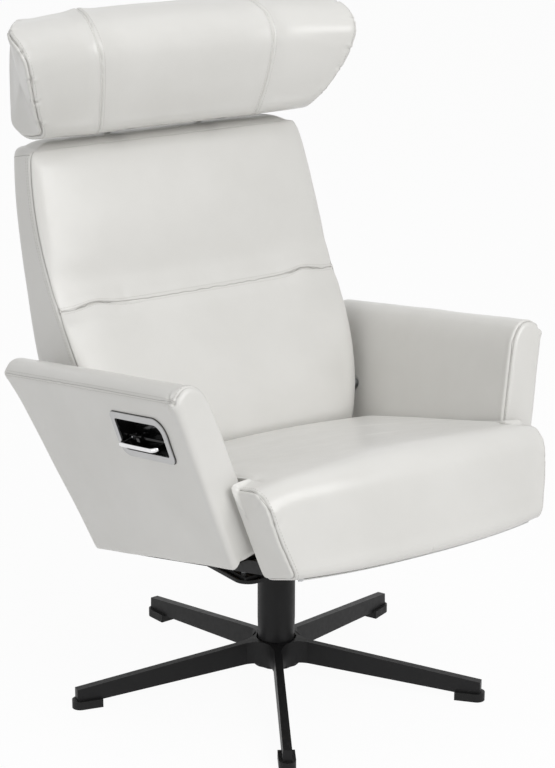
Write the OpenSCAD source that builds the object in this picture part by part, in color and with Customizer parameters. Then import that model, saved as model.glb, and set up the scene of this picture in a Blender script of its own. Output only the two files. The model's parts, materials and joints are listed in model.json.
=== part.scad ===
// Swivel recliner on a five-leg star base, upright, in millimetres.
// The origin is on the swivel axis at the floor, and the sitter faces -Y.

/* [Star base] */
// Radius from the swivel axis to the end of a leg
leg_reach = 345; // [310:1:400]
// Number of legs
leg_count = 5; // [5:1:6]
// Turn of the star about the column, in degrees
star_turn = 4.1; // [0:0.1:72]
// Height of a leg's top edge at the hub
leg_root_top = 73; // [66:1:84]
// Height of a leg's top edge at its tip
leg_tip_top = 33; // [28:1:40]
// Height of a leg's lower edge at the hub
leg_root_under = 35; // [33:1:42]
// Height of a leg's lower edge at its tip
leg_tip_under = 8; // [6:1:11]
// Width of a leg along its top edge
leg_top_w = 12; // [9:0.5:16]
// Width that a leg would have at the floor
leg_foot_w = 16; // [13:0.5:20]
// Radius of the cast webs between the legs
web_r = 36; // [30:1:42]
// Outer radius of the hub
hub_r = 39; // [37:0.5:44]
// Thickness of the hub's floor
hub_floor_t = 8; // [5:0.5:12]
// Width of a foot pad
pad_w = 27; // [22:1:34]
// Length of a foot pad
pad_l = 48; // [36:1:60]
// Height of a foot pad
pad_h = 14; // [12:0.5:18]

/* [Column] */
// Outer radius of the column
column_r = 31; // [29.5:0.5:34]
// How much slimmer the column's foot is
foot_step = 1; // [0.5:0.1:2]
// Wall of the column
column_wall = 3; // [2:0.5:5]
// Height of the column's top
column_top = 217; // [205:1:240]
// Radius of the spindle
spindle_r = 16; // [12:0.5:19]
// Thickness of the thrust washer
thrust_t = 5; // [3:0.5:8]
// Length of a column bush
bush_l = 32; // [20:1:45]
// Radius of the base bolt
base_bolt_r = 6; // [4:0.5:8]

/* [Seat unit] */
// Height of the seat unit's floor over the origin
unit_z = 284; // [270:1:310]
// Tilt of the seat unit, in degrees
unit_tilt = 12.9; // [10:0.1:15]
// Thickness of the mounting plate
plate_t = 6; // [5:0.5:8]
// Width of the mounting plate
plate_w = 280; // [260:1:310]
// Depth of the mounting plate
plate_d = 187; // [170:1:195]
// Corner radius of the mounting plate
plate_corner = 25; // [10:1:40]
// Height of a frame tube
tube_h = 20; // [16:1:24]
// Width of a frame tube
tube_w = 28; // [22:1:34]
// Wall of a frame tube
tube_wall = 2.5; // [1.5:0.25:4]
// Radius of a guide rod
rod_r = 6; // [4:0.5:8]

/* [Arms] */
// Half width of the seat unit at the arms' lower edge
arm_foot_x = 279; // [270:1:295]
// Outward lean of the arms, in degrees
arm_lean = 15.2; // [12:0.1:17]
// Thickness of an arm
arm_t = 60; // [56:1:70]
// Height of an arm's front edge, along the lean
arm_front_h = 266; // [240:1:290]
// Height of an arm's rear edge, along the lean
arm_rear_h = 306; // [275:1:330]
// Reach of an arm in front of the origin
arm_front = 300; // [290:1:310]
// Reach of an arm behind the origin, at its foot
arm_rear = 118; // [110:1:130]
// Sweep of an arm's rear edge towards its top
arm_rear_sweep = 84; // [60:1:100]
// Crown of an arm's padded top
arm_crown = 10; // [4:0.5:14]
// Rounding of an arm's front and rear edges
arm_edge_r = 9; // [5:0.5:14]
// Thickness of an arm's board
board_t = 14; // [10:1:16]

/* [Seat] */
// Thickness of the seat pan
pan_t = 12; // [9:0.5:15]
// Height of the seat pan's underside over the unit's floor
pan_z = 30; // [28:0.5:36]
// Height of the seat cushion's top at its edge
seat_top = 124; // [112:1:134]
// Crown of the seat cushion
seat_crown = 14; // [6:0.5:20]
// Reach of the seat in front of the origin
seat_front = 398; // [385:1:410]
// Bow of the seat's front
seat_bow = 12; // [4:0.5:18]
// Half width of the seat's nose at the unit's floor
nose_half_w = 247; // [235:1:255]
// Depth of the seat's nose below the unit's floor
nose_drop = 26; // [16:0.5:32]
// How far the seat slides forward
seat_travel = 39.5; // [30:0.5:42]

/* [Backrest] */
// Height of the backrest's top over the unit's floor
back_top = 637; // [600:1:670]
// Gap in width between the backrest at its widest and the arms' lower edge
back_side_gap = 4; // [2:0.5:10]
// Distance of the backrest's rear face behind the origin
back_rear = 252; // [246:1:262]
// Wall of the backrest's rear shell
shell_t = 11; // [8:0.5:12]
// Height of the lumbar seam over the unit's floor
lumbar_z = 383; // [360:1:400]
// Depth of the lumbar seam
seam_depth = 6; // [2:0.5:9]
// Recline of the backrest, in degrees
recline_max = 25; // [15:0.5:25]
// Distance of the recline pivot behind the origin
pivot_y = 110; // [106:0.5:114]
// Height of the recline pivot over the unit's floor
pivot_z = 175; // [170:1:180]
// Radius of a pivot pin
pivot_r = 8; // [6:0.5:9]
// Distance from the pivot to the seat's drive pins
drive_arm = 91.2; // [86:0.1:95]
// Radius of a drive pin
drive_r = 4; // [3:0.5:5]

/* [Headrest] */
// Gap between the backrest and the headrest
head_gap = 18; // [14:0.5:40]
// Height of the headrest
head_h = 200; // [180:1:225]
// Half width of the headrest at its underside
head_half_w = 270; // [250:1:285]
// Flare of the headrest's ends over its height
head_flare = 44; // [20:1:56]
// Radius of a headrest stay
stay_r = 7; // [5:0.5:8]
// Half width over the headrest's stays
stay_x = 90; // [75:1:98]
// Radius of the headrest's hinge tube
hinge_r = 9; // [7:0.5:10]
// Upward travel of the headrest
head_travel = 50; // [30:1:55]

/* [Release lever] */
// Length of the bezel along the arm
bezel_l = 146; // [136:1:152]
// Height of the bezel
bezel_h = 72; // [68:1:78]
// Width of the bezel's frame
bezel_w = 10.5; // [8:0.5:12]
// Thickness of the bezel
bezel_t = 3; // [2:0.25:4]
// Depth of the recess
cup_d = 27; // [24:0.5:28]
// Radius of the pull bar
pull_r = 3.5; // [2.5:0.25:4.5]
// How far the pull bar stands off the arm
pull_proud = 13; // [9:0.5:18]

/* [Gas spring] */
// Distance from the pivot to the gas spring's pin
spring_arm = 165; // [160:0.5:168]
// Outer radius of the gas spring
spring_r = 11; // [9:0.5:12]
// Radius of its piston rod
piston_rod_r = 5; // [4:0.5:6]
// Radius of the release cable
cable_r = 2.5; // [1.5:0.25:3]

/* [Fasteners] */
// Radius of a frame bolt
bolt_r = 4; // [3:0.5:5]
// Radius of a lining screw's head
screw_head_r = 4; // [3:0.5:5]

/* [Hidden] */
$fn = 48;

// Gap between faces that slide or part
gap = 0.3;
// Radial clearance of a running fit
fit = 0.05;
// Overrun of a cut past the face that it leaves
over = 1;
// Thickness of sheet steel brackets
sheet_t = 5;

// Star
leg_hw_mid = (leg_top_w + leg_foot_w) / 4;
web_d = (web_r + leg_hw_mid) / sin(180 / leg_count);
web_land = 4;
web_disc_r = web_d * cos(180 / leg_count) - web_land;
hub_drop = 5;
hub_under = leg_root_under - hub_drop;
socket_gap_d = 6;
socket_gap_r = 3;
pad_slope = atan((leg_root_under - leg_tip_under) / (leg_reach - hub_r));
pad_cut_z = leg_root_under + hub_r * tan(pad_slope);

// Column
foot_r = column_r - foot_step;
column_in = column_r - column_wall;
column_foot_z = hub_under + hub_floor_t;
foot_taper_z = leg_root_top + hub_drop;
plug_t = 14;
washer_t = 3;
clip_t = 3;
clip_w = 4;
spindle_clear = 10;
clip_land = 6;
spindle_foot_z = column_foot_z + plug_t + spindle_clear;
lower_bush_z = spindle_foot_z + clip_t + clip_land;
washer_r = 14;
bolt_head_share = 1.75;
flange_t = 8;
flange_r = 50;
flange_z = column_top + thrust_t;
plate_z = flange_z + flange_t;
plate_top = plate_z + plate_t;
flange_bolt_pcd_r = 38;

// Seat unit, in its own tilted frame
frame_top = -8;
frame_under = frame_top - tube_h;
front_tube_y = -265;
rear_tube_y = 60;
rail_in = 80;
rail_x = arm_foot_x - rail_in;
rail_w = 26;
rail_front_y = front_tube_y + tube_w / 2;
rail_rear_y = 112;
rod_in = 49;
rod_x = rail_x - rod_in;
rod_z = (frame_top + frame_under) / 2;
rod_front_y = front_tube_y - tube_w / 2;
rod_rear_y = rear_tube_y + tube_w / 2;
wedge_x = 100;
plate_front_y = -112;
wedge_bolt_inset = 14;
wedge_flange_t = 5;
wedge_nose = 18;
wedge_rear_y = plate_front_y + plate_d - wedge_bolt_inset / 7;
wedge_front_y = (front_tube_y - tube_w / 2) * cos(unit_tilt) + frame_under * sin(unit_tilt);

// Arms
pin_in = 26;
board_a = 32;
board_inset = 16;
bracket_a = board_a + board_t;
bracket_t = 5;
bracket_l = 40;
bracket_h = 70;
bracket_ys = [-215, 30];
bracket_bend_in = 57;
bracket_bend_x = arm_foot_x - bracket_bend_in;
bracket_foot_h = -23;
bracket_bolt_zs = [25, 55];
board_foot = 6;
arm_lean_front = 9;
arm_crown_share = 0.035;
arm_station_shares = [0, 0.002, 0.006, 0.013, 0.022, 0.15, 0.3, 0.45, 0.6, 0.75, 0.87, 0.978, 0.987, 0.994, 0.998, 1];
bush_t = 6;
bush_in = 11;
bush_w = 28;
bush_near_x = arm_foot_x - bush_in;
bush_far_x = bush_near_x + bush_w;
pin_end_t = 2;

// Lever
bezel_y = -182;
bezel_drop = 60;
bezel_z = arm_front_h - bezel_drop;
bezel_turn = 4.4;
cup_wall = 2;
lever_axis_a = 15;
shaft_r = 3;
pull_hub_half = 4;
pull_hub_wall = 2.5;
pull_bend = 8;
pull_end_gap = 14.5;
pull_l = bezel_l - 2 * bezel_w - 2 * pull_end_gap;
pull_x = 7;
pull_z = -12;
bezel_corners = [9, 24, 9, 28];
inner_corner_r = 4;
shaft_half = bezel_l / 2 - bezel_w + cup_wall - gap;
cam_wall = 3;
cam_x = 30;
cam_t = 8;
cam_reach = 9;
cable_a = 22;
cable_y = -150;
cable_sides = 8;
cable_steps = 3;
cable_floor_h = 14;
cable_route = [[-304.9, -150, 179.2], [-289.2, -150, 121.6], [-273.5, -150, 63.7], [-263, -150, 25.1], [-256.5, -150, 10],
  [-244, -150.5, 3.5], [-215, -152, 2.5], [-165, -156, 2], [-112, -165, 2], [-66, -178, 1.5], [-38, -184.5, 1], [-14.3, -186, 0.75]];

// Backrest
back_half_w = arm_foot_x - back_side_gap;
back_taper = 55;
frame_y = 213;
frame_d = 25;
back_board_t = 8;
plug_rear = frame_y - back_board_t;
lever_in = 112;
lever_x = arm_foot_x - lever_in;
lever_t = 6;
drive_lean = recline_max / 2;
drive_y = pivot_y + drive_arm * sin(drive_lean);
drive_z = pivot_z - drive_arm * cos(drive_lean);
spring_y = pivot_y + spring_arm * sin(drive_lean);
spring_z = pivot_z - spring_arm * cos(drive_lean);
plug_foot = 108;
upright_x = lever_x;
upright_w = 20;
back_foot = 62;
plug_inset = 15;
rim_gap = 2;
plug_top = back_top - 2 * plug_inset;
back_edge_r = 40;
back_slope = 0.2;
shell_corner_r = 22;
mouth_side = 37;
shell_mouth_half_w = lever_x + mouth_side;
shell_rear_in = back_rear - plug_inset;
slot_w = 16;
slot_x = lever_x - slot_w / 2;
slot_low = 100;
slot_high = 240;
slot_front = 88;
lever_end_r = 12;
pivot_boss_r = 15;
link_share = 0.92;
link_boss = 1;
back_board_in = 75;
back_board_half_w = back_half_w - back_board_in;
cross_h = 20;
top_cross_h = 25;
low_cross_z = 110;
mid_cross_z = 290;
top_cross_drop = 52;
frame_head_z = back_top - top_cross_drop;
cross_zs = [[low_cross_z, low_cross_z + cross_h], [mid_cross_z, mid_cross_z + cross_h], [frame_head_z - top_cross_h, frame_head_z]];
pin_head_t = 4;

// Headrest
hinge_y = 190;
head_foot = back_top + head_gap;
hinge_rise = 45;
hinge_z = head_foot + hinge_rise;
hinge_half_l = 120;
stay_y = frame_y + frame_d / 2;
stay_in = 117;
stay_foot_z = back_top - stay_in;
stay_lean = 45;
stay_knuckle = 0.6;
stay_bend_z = hinge_z - (stay_y - hinge_y) * tan(stay_lean);
stay_run = (stay_y - hinge_y) / sin(stay_lean) - hinge_r / 3;
sleeve_r = 9;
sleeve_proud = 9;
sleeve_l = 146;
sleeve_top_z = back_top + sleeve_proud;
sleeve_foot_z = sleeve_top_z - sleeve_l;
board_y = 150;
board_d = 10;
board_half_w = 210;
board_rise = 20;
board_drop = 43;
board_h = head_h - board_rise - board_drop;
board_low = head_foot + board_rise;
board_high = board_low + board_h;
pocket_half_w = 125;
pocket_rear = 212;
pocket_rise = 17;
pocket_h = 50;
pocket_low = head_foot + pocket_rise;
pocket_high = pocket_low + pocket_h;
rod_slot_half_w = 11;
rod_slot_drop = 15;
rod_slot_low = head_foot - rod_slot_drop;
rod_slot_rear = 242;
clamp_xs = [40, 112];
clamp_t = 10;
clamp_r = 12;
head_seam_d = 3;

// Seat
nose_y = 316;
seat_rear = 36;
seat_edge_r = 38;
seat_rear_r = 30;
seat_side_gap = 8;
flare_share = 0.95;
pan_side = 40;
pan_half_w = rod_x + pan_side;
pan_front = 310;
pan_rear = 150;
pan_slot_half_w = 60;
pan_slot_y = 30;
block_ys = [-182.5, 19];
block_half_l = 17.5;
block_half_w = 12;
bracket_side_gap = 6;
bracket_x = lever_x + lever_t / 2 + bracket_side_gap;
slot_r = 12;
slot_drop = drive_arm * (1 - cos(drive_lean));
lining_t = 2.5;
lining_front = 394;
lining_in = 32;
lining_half_w = nose_half_w - lining_in;
screw_r = 2;
nose_end = seat_front - nose_y;
seat_length = seat_front + seat_rear;
seat_stations = [0, 1.5, 5, 11, 20, 32, 46, 64, nose_end - gap / 2, nose_end + gap / 2, 130, 190, 250, 310, 360,
  seat_length - 30, seat_length - 18, seat_length - 9, seat_length - 3, seat_length];

// Gas spring
anchor_y = -205;
anchor_z = 0;
ear_x = 8.3;
ear_t = 4;
ear_r = 12;
head_w = 8;
head_l = 25;
rod_seat = 3;
cable_head_y = 19;
cable_end_x = 14;
valve_pin_r = 2;
valve_pin_l = 6;
tube_start = 118;
rod_inside = 82;
spring_wall = 1.5;
piston_l = 8;
clevis_l = 26;
clevis_gap = 2;
clevis_t = 4;
clevis_r = 13;
clevis_play = 4;
spring_rise = atan((spring_z - anchor_z) / (spring_y - anchor_y));
spring_len = norm([spring_y - anchor_y, spring_z - anchor_z]);

leather = [0.87, 0.86, 0.83];
black_steel = [0.13, 0.13, 0.14];
bare_steel = [0.62, 0.63, 0.65];
chrome = [0.8, 0.81, 0.83];
black_plastic = [0.08, 0.08, 0.09];
plywood = [0.76, 0.62, 0.44];

// Value at share t of a list spread evenly over 0 to 1, on a smooth curve through its points
function along(list, t) =
  let (n = len(list) - 1, s = min(max(t, 0), 1) * n, i = min(floor(s), n - 1), f = s - i,
       b = list[i], c = list[i + 1],
       a = i > 0 ? list[i - 1] : 2 * b - c,
       d = i < n - 1 ? list[i + 2] : 2 * c - b)
  b + f * ((c - a) + f * ((2 * a - 5 * b + 4 * c - d) + f * (3 * (b - c) + d - a))) / 2;
function mix(a, b, t) = a + (b - a) * t;
function middle(ring) = [for (k = [0:2]) let (v = [for (p = ring) p[k]]) (min(v) + max(v)) / 2];
// How far a rounded end of radius r has drawn in at distance d from the end
function drawn_in(d, r) = d >= r ? 0 : r - sqrt(r * r - (r - d) * (r - d));

// Closed skin through equal rings of points, with a cap at either end
module skin(rings, tip_a, tip_b) {
  n = len(rings[0]);
  m = len(rings);
  points = concat([for (r = rings) each r], [tip_a, tip_b]);
  walls = [for (i = [0:m - 2], j = [0:n - 1]) let (k = (j + 1) % n)
    each [[i * n + j, i * n + k, i * n + n + k], [i * n + j, i * n + n + k, i * n + n + j]]];
  caps = [for (j = [0:n - 1]) let (k = (j + 1) % n)
    each [[m * n, k, j], [m * n + 1, m * n - n + j, m * n - n + k]]];
  polyhedron(points, concat(walls, caps), convexity = 8);
}

// Rectangle with its own radius at each corner, from the lower left round to the upper left
module soft_rect(l, h, radii) {
  sx = [-1, 1, 1, -1];
  sy = [-1, -1, 1, 1];
  corners = [for (i = [0:3]) each
    let (c = [sx[i] * l / 2, sy[i] * h / 2], dx = [-sx[i] * radii[i], 0], dy = [0, -sy[i] * radii[i]])
    (i % 2 == 0 ? [c + dy, c + dx] : [c + dx, c + dy])];
  polygon(corners);
  for (i = [0:3]) translate([sx[i] * (l / 2 - radii[i]), sy[i] * (h / 2 - radii[i])]) circle(radii[i]);
}

module box(low, high) translate(low) cube(high - low);
module both() {
  children();
  mirror([1, 0, 0]) children();
}
module each_leg() for (i = [0:leg_count - 1]) rotate([0, 0, star_turn + 90 + i * 360 / leg_count]) children();
module seat_unit() translate([0, 0, unit_z]) rotate([-unit_tilt, 0, 0]) children();
// Frame of the left arm: X runs out of its outer face, Z up along it
module arm_frame() seat_unit() translate([arm_foot_x, 0, 0]) rotate([0, arm_lean, 0]) children();
module right_arm_frame() mirror([1, 0, 0]) arm_frame() children();
// Frame of the lever recess, on the right arm: X runs rearward, Y up the arm and Z out of it
module recess_frame() right_arm_frame() translate([0, bezel_y, bezel_z]) rotate([bezel_turn, 0, 0])
  rotate([90, 0, 90]) children();
// Cylinder along X that spans x from a to b at [y, z]
module bar_x(a, b, y, z, r) translate([a, y, z]) rotate([0, 90, 0]) cylinder(r = r, h = b - a);

// Star base
module leg_section(grow) linear_extrude(leg_reach)
  polygon([[-leg_foot_w / 2 - grow, 0], [leg_foot_w / 2 + grow, 0],
    [leg_top_w / 2 + grow, leg_root_top], [-leg_top_w / 2 - grow, leg_root_top]]);
module leg(grow = 0) rotate([90, 0, 90]) leg_section(grow);
module web_cutters() for (i = [0:leg_count - 1]) rotate([0, 0, star_turn + 90 + (i + 0.5) * 360 / leg_count])
  translate([web_d, 0, 0]) cylinder(r1 = web_r + leg_hw_mid - leg_foot_w / 2,
    r2 = web_r + leg_hw_mid - leg_top_w / 2, h = leg_root_top);
module star_base() color(black_steel) difference() {
  intersection() {
    rotate_extrude() polygon([[0, hub_under], [hub_r, hub_under], [hub_r, leg_root_under],
      [leg_reach, leg_tip_under], [leg_reach, leg_tip_top], [hub_r, leg_root_top], [0, leg_root_top]]);
    union() {
      difference() {
        cylinder(r = web_disc_r, h = leg_root_top);
        web_cutters();
      }
      each_leg() leg();
    }
  }
  translate([0, 0, column_foot_z]) cylinder(r = foot_r + fit, h = leg_root_top);
  translate([0, 0, leg_root_top - socket_gap_d]) cylinder(r = foot_r + socket_gap_r, h = leg_root_top);
  cylinder(r = base_bolt_r + fit, h = leg_root_top);
}
module foot_pads() color(black_plastic) each_leg() difference() {
  union() {
    box([leg_reach + pad_w / 4 - pad_l, -pad_w / 2, 0], [leg_reach - pad_w / 4, pad_w / 2, pad_h]);
    translate([leg_reach - pad_w / 4, 0, 0]) cylinder(r = pad_w / 2, h = pad_h);
  }
  intersection() {
    leg(fit);
    translate([0, 0, pad_cut_z]) rotate([0, pad_slope, 0]) box([0, -pad_w, 0], [2 * leg_reach, pad_w, leg_root_top]);
  }
}

// Column and swivel
module column_tube() color(black_steel) rotate_extrude()
  polygon([[column_in, column_foot_z], [foot_r, column_foot_z], [foot_r, foot_taper_z],
    [column_r, foot_taper_z + column_r], [column_r, column_top], [column_in, column_top]]);
module ring(r_in, r_out, z, h) translate([0, 0, z]) difference() {
  cylinder(r = r_out, h = h);
  translate([0, 0, -over]) cylinder(r = r_in, h = h + 2 * over);
}
module column_plug() color(bare_steel) ring(base_bolt_r, column_in, column_foot_z, plug_t);
module base_washer() color(bare_steel) ring(base_bolt_r + fit, washer_r, hub_under - washer_t, washer_t);
module base_bolt() color(bare_steel) {
  translate([0, 0, hub_under - washer_t - base_bolt_r]) cylinder(r = base_bolt_r * bolt_head_share, h = base_bolt_r, $fn = 6);
  translate([0, 0, hub_under - washer_t]) cylinder(r = base_bolt_r - fit, h = column_foot_z + plug_t - hub_under + washer_t - over);
}
module lower_bush() color(leather) ring(spindle_r + fit, column_in, lower_bush_z, bush_l);
module upper_bush() color(leather) ring(spindle_r + fit, column_in, column_top - bush_l, bush_l);
module thrust_washer() color(leather) ring(spindle_r + fit, column_r, column_top, thrust_t);
module spindle() color(bare_steel) difference() {
  union() {
    translate([0, 0, flange_z]) cylinder(r = flange_r, h = flange_t);
    translate([0, 0, spindle_foot_z]) cylinder(r = spindle_r, h = flange_z - spindle_foot_z);
  }
  for (i = [0:3]) rotate([0, 0, 45 + i * 90]) translate([flange_bolt_pcd_r, 0, flange_z - over])
    cylinder(r = bolt_r + fit, h = flange_t + 2 * over);
  ring(spindle_r - clip_w / 2, spindle_r + over, lower_bush_z - gap - clip_t, clip_t);
}
module spindle_clip() color(bare_steel) ring(spindle_r - clip_w / 2, spindle_r + clip_w, lower_bush_z - gap - clip_t, clip_t);
module hex_bolt(r, grip) {
  translate([0, 0, -grip]) cylinder(r = r - fit, h = grip);
  cylinder(r = r * bolt_head_share, h = r, $fn = 6);
}
module spindle_bolts() color(bare_steel) for (i = [0:3]) rotate([0, 0, 45 + i * 90])
  translate([flange_bolt_pcd_r, 0, plate_top]) hex_bolt(bolt_r, plate_t + flange_t);
module wedge_bolt_places() for (x = [-1, 1], y = [plate_front_y + 2 * wedge_bolt_inset, plate_front_y + plate_d - 4 * wedge_bolt_inset])
  translate([x * (wedge_x + sheet_t + wedge_bolt_inset), y, plate_top]) children();
module mounting_plate() color(black_steel) difference() {
  translate([0, plate_front_y + plate_d / 2, plate_z]) linear_extrude(plate_t)
    soft_rect(plate_w, plate_d, [plate_corner, plate_corner, plate_corner, plate_corner]);
  for (i = [0:3]) rotate([0, 0, 45 + i * 90]) translate([flange_bolt_pcd_r, 0, plate_z - over])
    cylinder(r = bolt_r + fit, h = plate_t + 2 * over);
  wedge_bolt_places() translate([0, 0, -plate_t - over]) cylinder(r = bolt_r + fit, h = plate_t + 2 * over);
}
// Height of the frame tubes' underside over the floor, at distance y from the swivel axis
function under_z(y) = unit_z + frame_under / cos(unit_tilt) - y * tan(unit_tilt);
module wedge_brackets() color(black_steel) both() difference() {
  union() {
    translate([wedge_x, 0, 0]) rotate([90, 0, 90]) linear_extrude(sheet_t)
      polygon([[plate_front_y, plate_top], [wedge_rear_y, plate_top], [wedge_rear_y, under_z(wedge_rear_y)],
        [wedge_front_y, under_z(wedge_front_y)], [wedge_front_y, under_z(wedge_front_y) - wedge_nose]]);
    box([wedge_x, plate_front_y + wedge_bolt_inset / 2, plate_top],
      [wedge_x + sheet_t + 2 * wedge_bolt_inset, plate_front_y + plate_d - 1.5 * wedge_bolt_inset, plate_top + wedge_flange_t]);
  }
  wedge_bolt_places() translate([0, 0, -over]) cylinder(r = bolt_r + fit, h = plate_t + 2 * over);
}
module plate_bolts() color(bare_steel) wedge_bolt_places()
  translate([0, 0, wedge_flange_t]) hex_bolt(bolt_r, plate_t + wedge_flange_t);

// Seat frame
module tube_x(half, y) difference() {
  box([-half, y - tube_w / 2, frame_under], [half, y + tube_w / 2, frame_top]);
  box([-half - over, y - tube_w / 2 + tube_wall, frame_under + tube_wall],
    [half + over, y + tube_w / 2 - tube_wall, frame_top - tube_wall]);
}
module cross_tubes() color(black_steel) seat_unit() difference() {
  for (y = [front_tube_y, rear_tube_y]) tube_x(rail_x - rail_w / 2, y);
  both() translate([rod_x, rod_front_y - over, rod_z]) rotate([-90, 0, 0])
    cylinder(r = rod_r + fit, h = rod_rear_y - rod_front_y + 2 * over);
}
module side_rails() color(black_steel) seat_unit() both() difference() {
  box([rail_x - rail_w / 2, rail_front_y - tube_w, frame_under], [rail_x + rail_w / 2, rail_rear_y, frame_top]);
  box([rail_x - rail_w / 2 + tube_wall, rail_front_y - tube_w - over, frame_under + tube_wall],
    [rail_x + rail_w / 2 - tube_wall, rail_rear_y + over, frame_top - tube_wall]);
  for (y = bracket_ys) translate([rail_x, y, frame_top - tube_wall - over]) cylinder(r = bolt_r + fit, h = tube_h);
}
module guide_rods() color(bare_steel) seat_unit() both() translate([rod_x, rod_front_y, rod_z])
  rotate([-90, 0, 0]) cylinder(r = rod_r, h = rod_rear_y - rod_front_y);
module at_brackets() for (y = bracket_ys) translate([0, y, 0]) children();
module arm_brackets() color(black_steel) both() difference() {
  union() {
    seat_unit() at_brackets() box([rail_x - rail_w / 2, -bracket_l / 2, frame_top],
      [bracket_bend_x, bracket_l / 2, frame_top + bracket_t]);
    arm_frame() at_brackets() box([-bracket_a - bracket_t, -bracket_l / 2, bracket_foot_h],
      [-bracket_a, bracket_l / 2, bracket_h]);
  }
  seat_unit() at_brackets() translate([rail_x, 0, frame_top - over]) cylinder(r = bolt_r + fit, h = bracket_t + 2 * over);
  arm_frame() at_brackets() for (z = bracket_bolt_zs) bar_x(-bracket_a - bracket_t - over, -bracket_a + over, 0, z, bolt_r + fit);
}
module arm_bolts() color(bare_steel) both() {
  seat_unit() at_brackets() translate([rail_x, 0, frame_top + bracket_t]) hex_bolt(bolt_r, bracket_t + tube_wall);
  arm_frame() at_brackets() for (z = bracket_bolt_zs) translate([-bracket_a - bracket_t, 0, z])
    rotate([0, -90, 0]) hex_bolt(bolt_r, bracket_t + board_t / 2);
}

// Arms
function arm_h(t) = mix(arm_front_h, arm_rear_h, t);
arm_rear_shares = [0, 0.12, 0.27, 0.42, 0.55, 0.72, 1];
function arm_front_y(z) = -arm_front - arm_lean_front * z / arm_front_h;
function arm_rear_y(z) = arm_rear + arm_rear_sweep * along(arm_rear_shares, z / arm_rear_h);
// Outline of an arm's section as shares of its thickness, from its outer face, and of its height
arm_section_shares = [[0.05, 0], [0, 0.02], [0, 0.2], [0, 0.4], [0, 0.6], [0, 0.8], [0, 0.94], [0.02, 0.985],
  [0.1, 1.0], [0.25, 1.025], [0.42, 1.035], [0.6, 1.03], [0.76, 1.01], [0.9, 0.965], [0.98, 0.9], [1, 0.8],
  [1, 0.6], [1, 0.4], [1, 0.2], [1, 0.02], [0.95, 0], [0.7, 0], [0.45, 0], [0.2, 0]];
function arm_ring(t, length) =
  let (h = arm_h(t), end = min(t, 1 - t) * length, pull = drawn_in(end, arm_edge_r))
  [for (s = arm_section_shares)
    let (z = h * min(s[1], 1) + max(s[1] - 1, 0) / arm_crown_share * arm_crown,
         zz = h / 2 + (z - h / 2) * (1 - 2 * pull / h),
         aa = arm_t / 2 + (s[0] * arm_t - arm_t / 2) * (1 - 2 * pull / arm_t))
    [-aa, mix(arm_front_y(z), arm_rear_y(z), t), zz]];
module arm_skin() {
  length = arm_front + arm_rear + arm_rear_sweep / 2;
  rings = [for (t = arm_station_shares) arm_ring(t, length)];
  skin(rings, middle(rings[0]), middle(rings[len(rings) - 1]));
}
module arm_board_shape(grow) rotate([90, 0, 90]) translate([0, 0, -board_a - board_t - grow])
  linear_extrude(board_t + 2 * grow) polygon([
    [-arm_front + board_inset - grow, board_foot - grow], [arm_rear - board_inset + grow, board_foot - grow],
    [arm_rear + arm_rear_sweep * 0.42 - board_inset + grow, arm_rear_h * 0.5],
    [arm_rear + arm_rear_sweep * 0.72 - board_inset + grow, arm_rear_h - 2 * board_inset + grow],
    [-arm_front + board_inset - grow, arm_front_h - 2 * board_inset + grow]]);
module pivot_hole(r) seat_unit() bar_x(arm_foot_x - arm_t * 1.5, arm_foot_x + arm_t * 0.75, pivot_y, pivot_z, r);
module arm_board() color(plywood) difference() {
  arm_frame() arm_board_shape(0);
  pivot_hole(pivot_r + bush_t);
  arm_frame() at_brackets() for (z = bracket_bolt_zs) bar_x(-bracket_a - over, -bracket_a + board_t / 2, 0, z, bolt_r);
}
module left_arm_board() arm_board();
module right_arm_board() mirror([1, 0, 0]) arm_board();
module arm_pad() difference() {
  arm_frame() arm_skin();
  arm_frame() {
    arm_board_shape(gap);
    at_brackets() box([-bracket_a - bracket_t - 2 * bolt_r, -bracket_l / 2 - gap, -arm_t],
      [-bracket_a + over, bracket_l / 2 + gap, bracket_h + gap]);
    box([-board_a - board_t, -arm_front + board_inset - gap, -arm_t], [-board_a, arm_rear - board_inset + gap, board_foot]);
  }
  seat_unit() bar_x(arm_foot_x - arm_t * 1.5, bush_far_x + gap, pivot_y, pivot_z, pivot_r + bush_t + gap);
}
module left_arm_pad() color(leather) arm_pad();
module right_arm_pad() color(leather) difference() {
  mirror([1, 0, 0]) arm_pad();
  recess_frame() translate([0, 0, -cup_d - gap]) linear_extrude(2 * cup_d) cup_outline(gap);
  right_arm_frame() {
    box([-cable_a - cable_r - gap, cable_y - cable_r - gap, -arm_t], [-cable_a + cable_r + gap, cable_y + cable_r + gap, bezel_z]);
    box([-arm_t - over, cable_y - cable_r - 2 * gap, -arm_t], [-cable_a + cable_r + gap, cable_y + cable_r + 2 * gap, cable_floor_h]);
  }
}
module pivot_bushes() color(leather) seat_unit() both() difference() {
  bar_x(bush_near_x, bush_far_x, pivot_y, pivot_z, pivot_r + bush_t - fit);
  bar_x(bush_near_x - over, bush_far_x - pin_end_t, pivot_y, pivot_z, pivot_r + fit);
}

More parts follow.
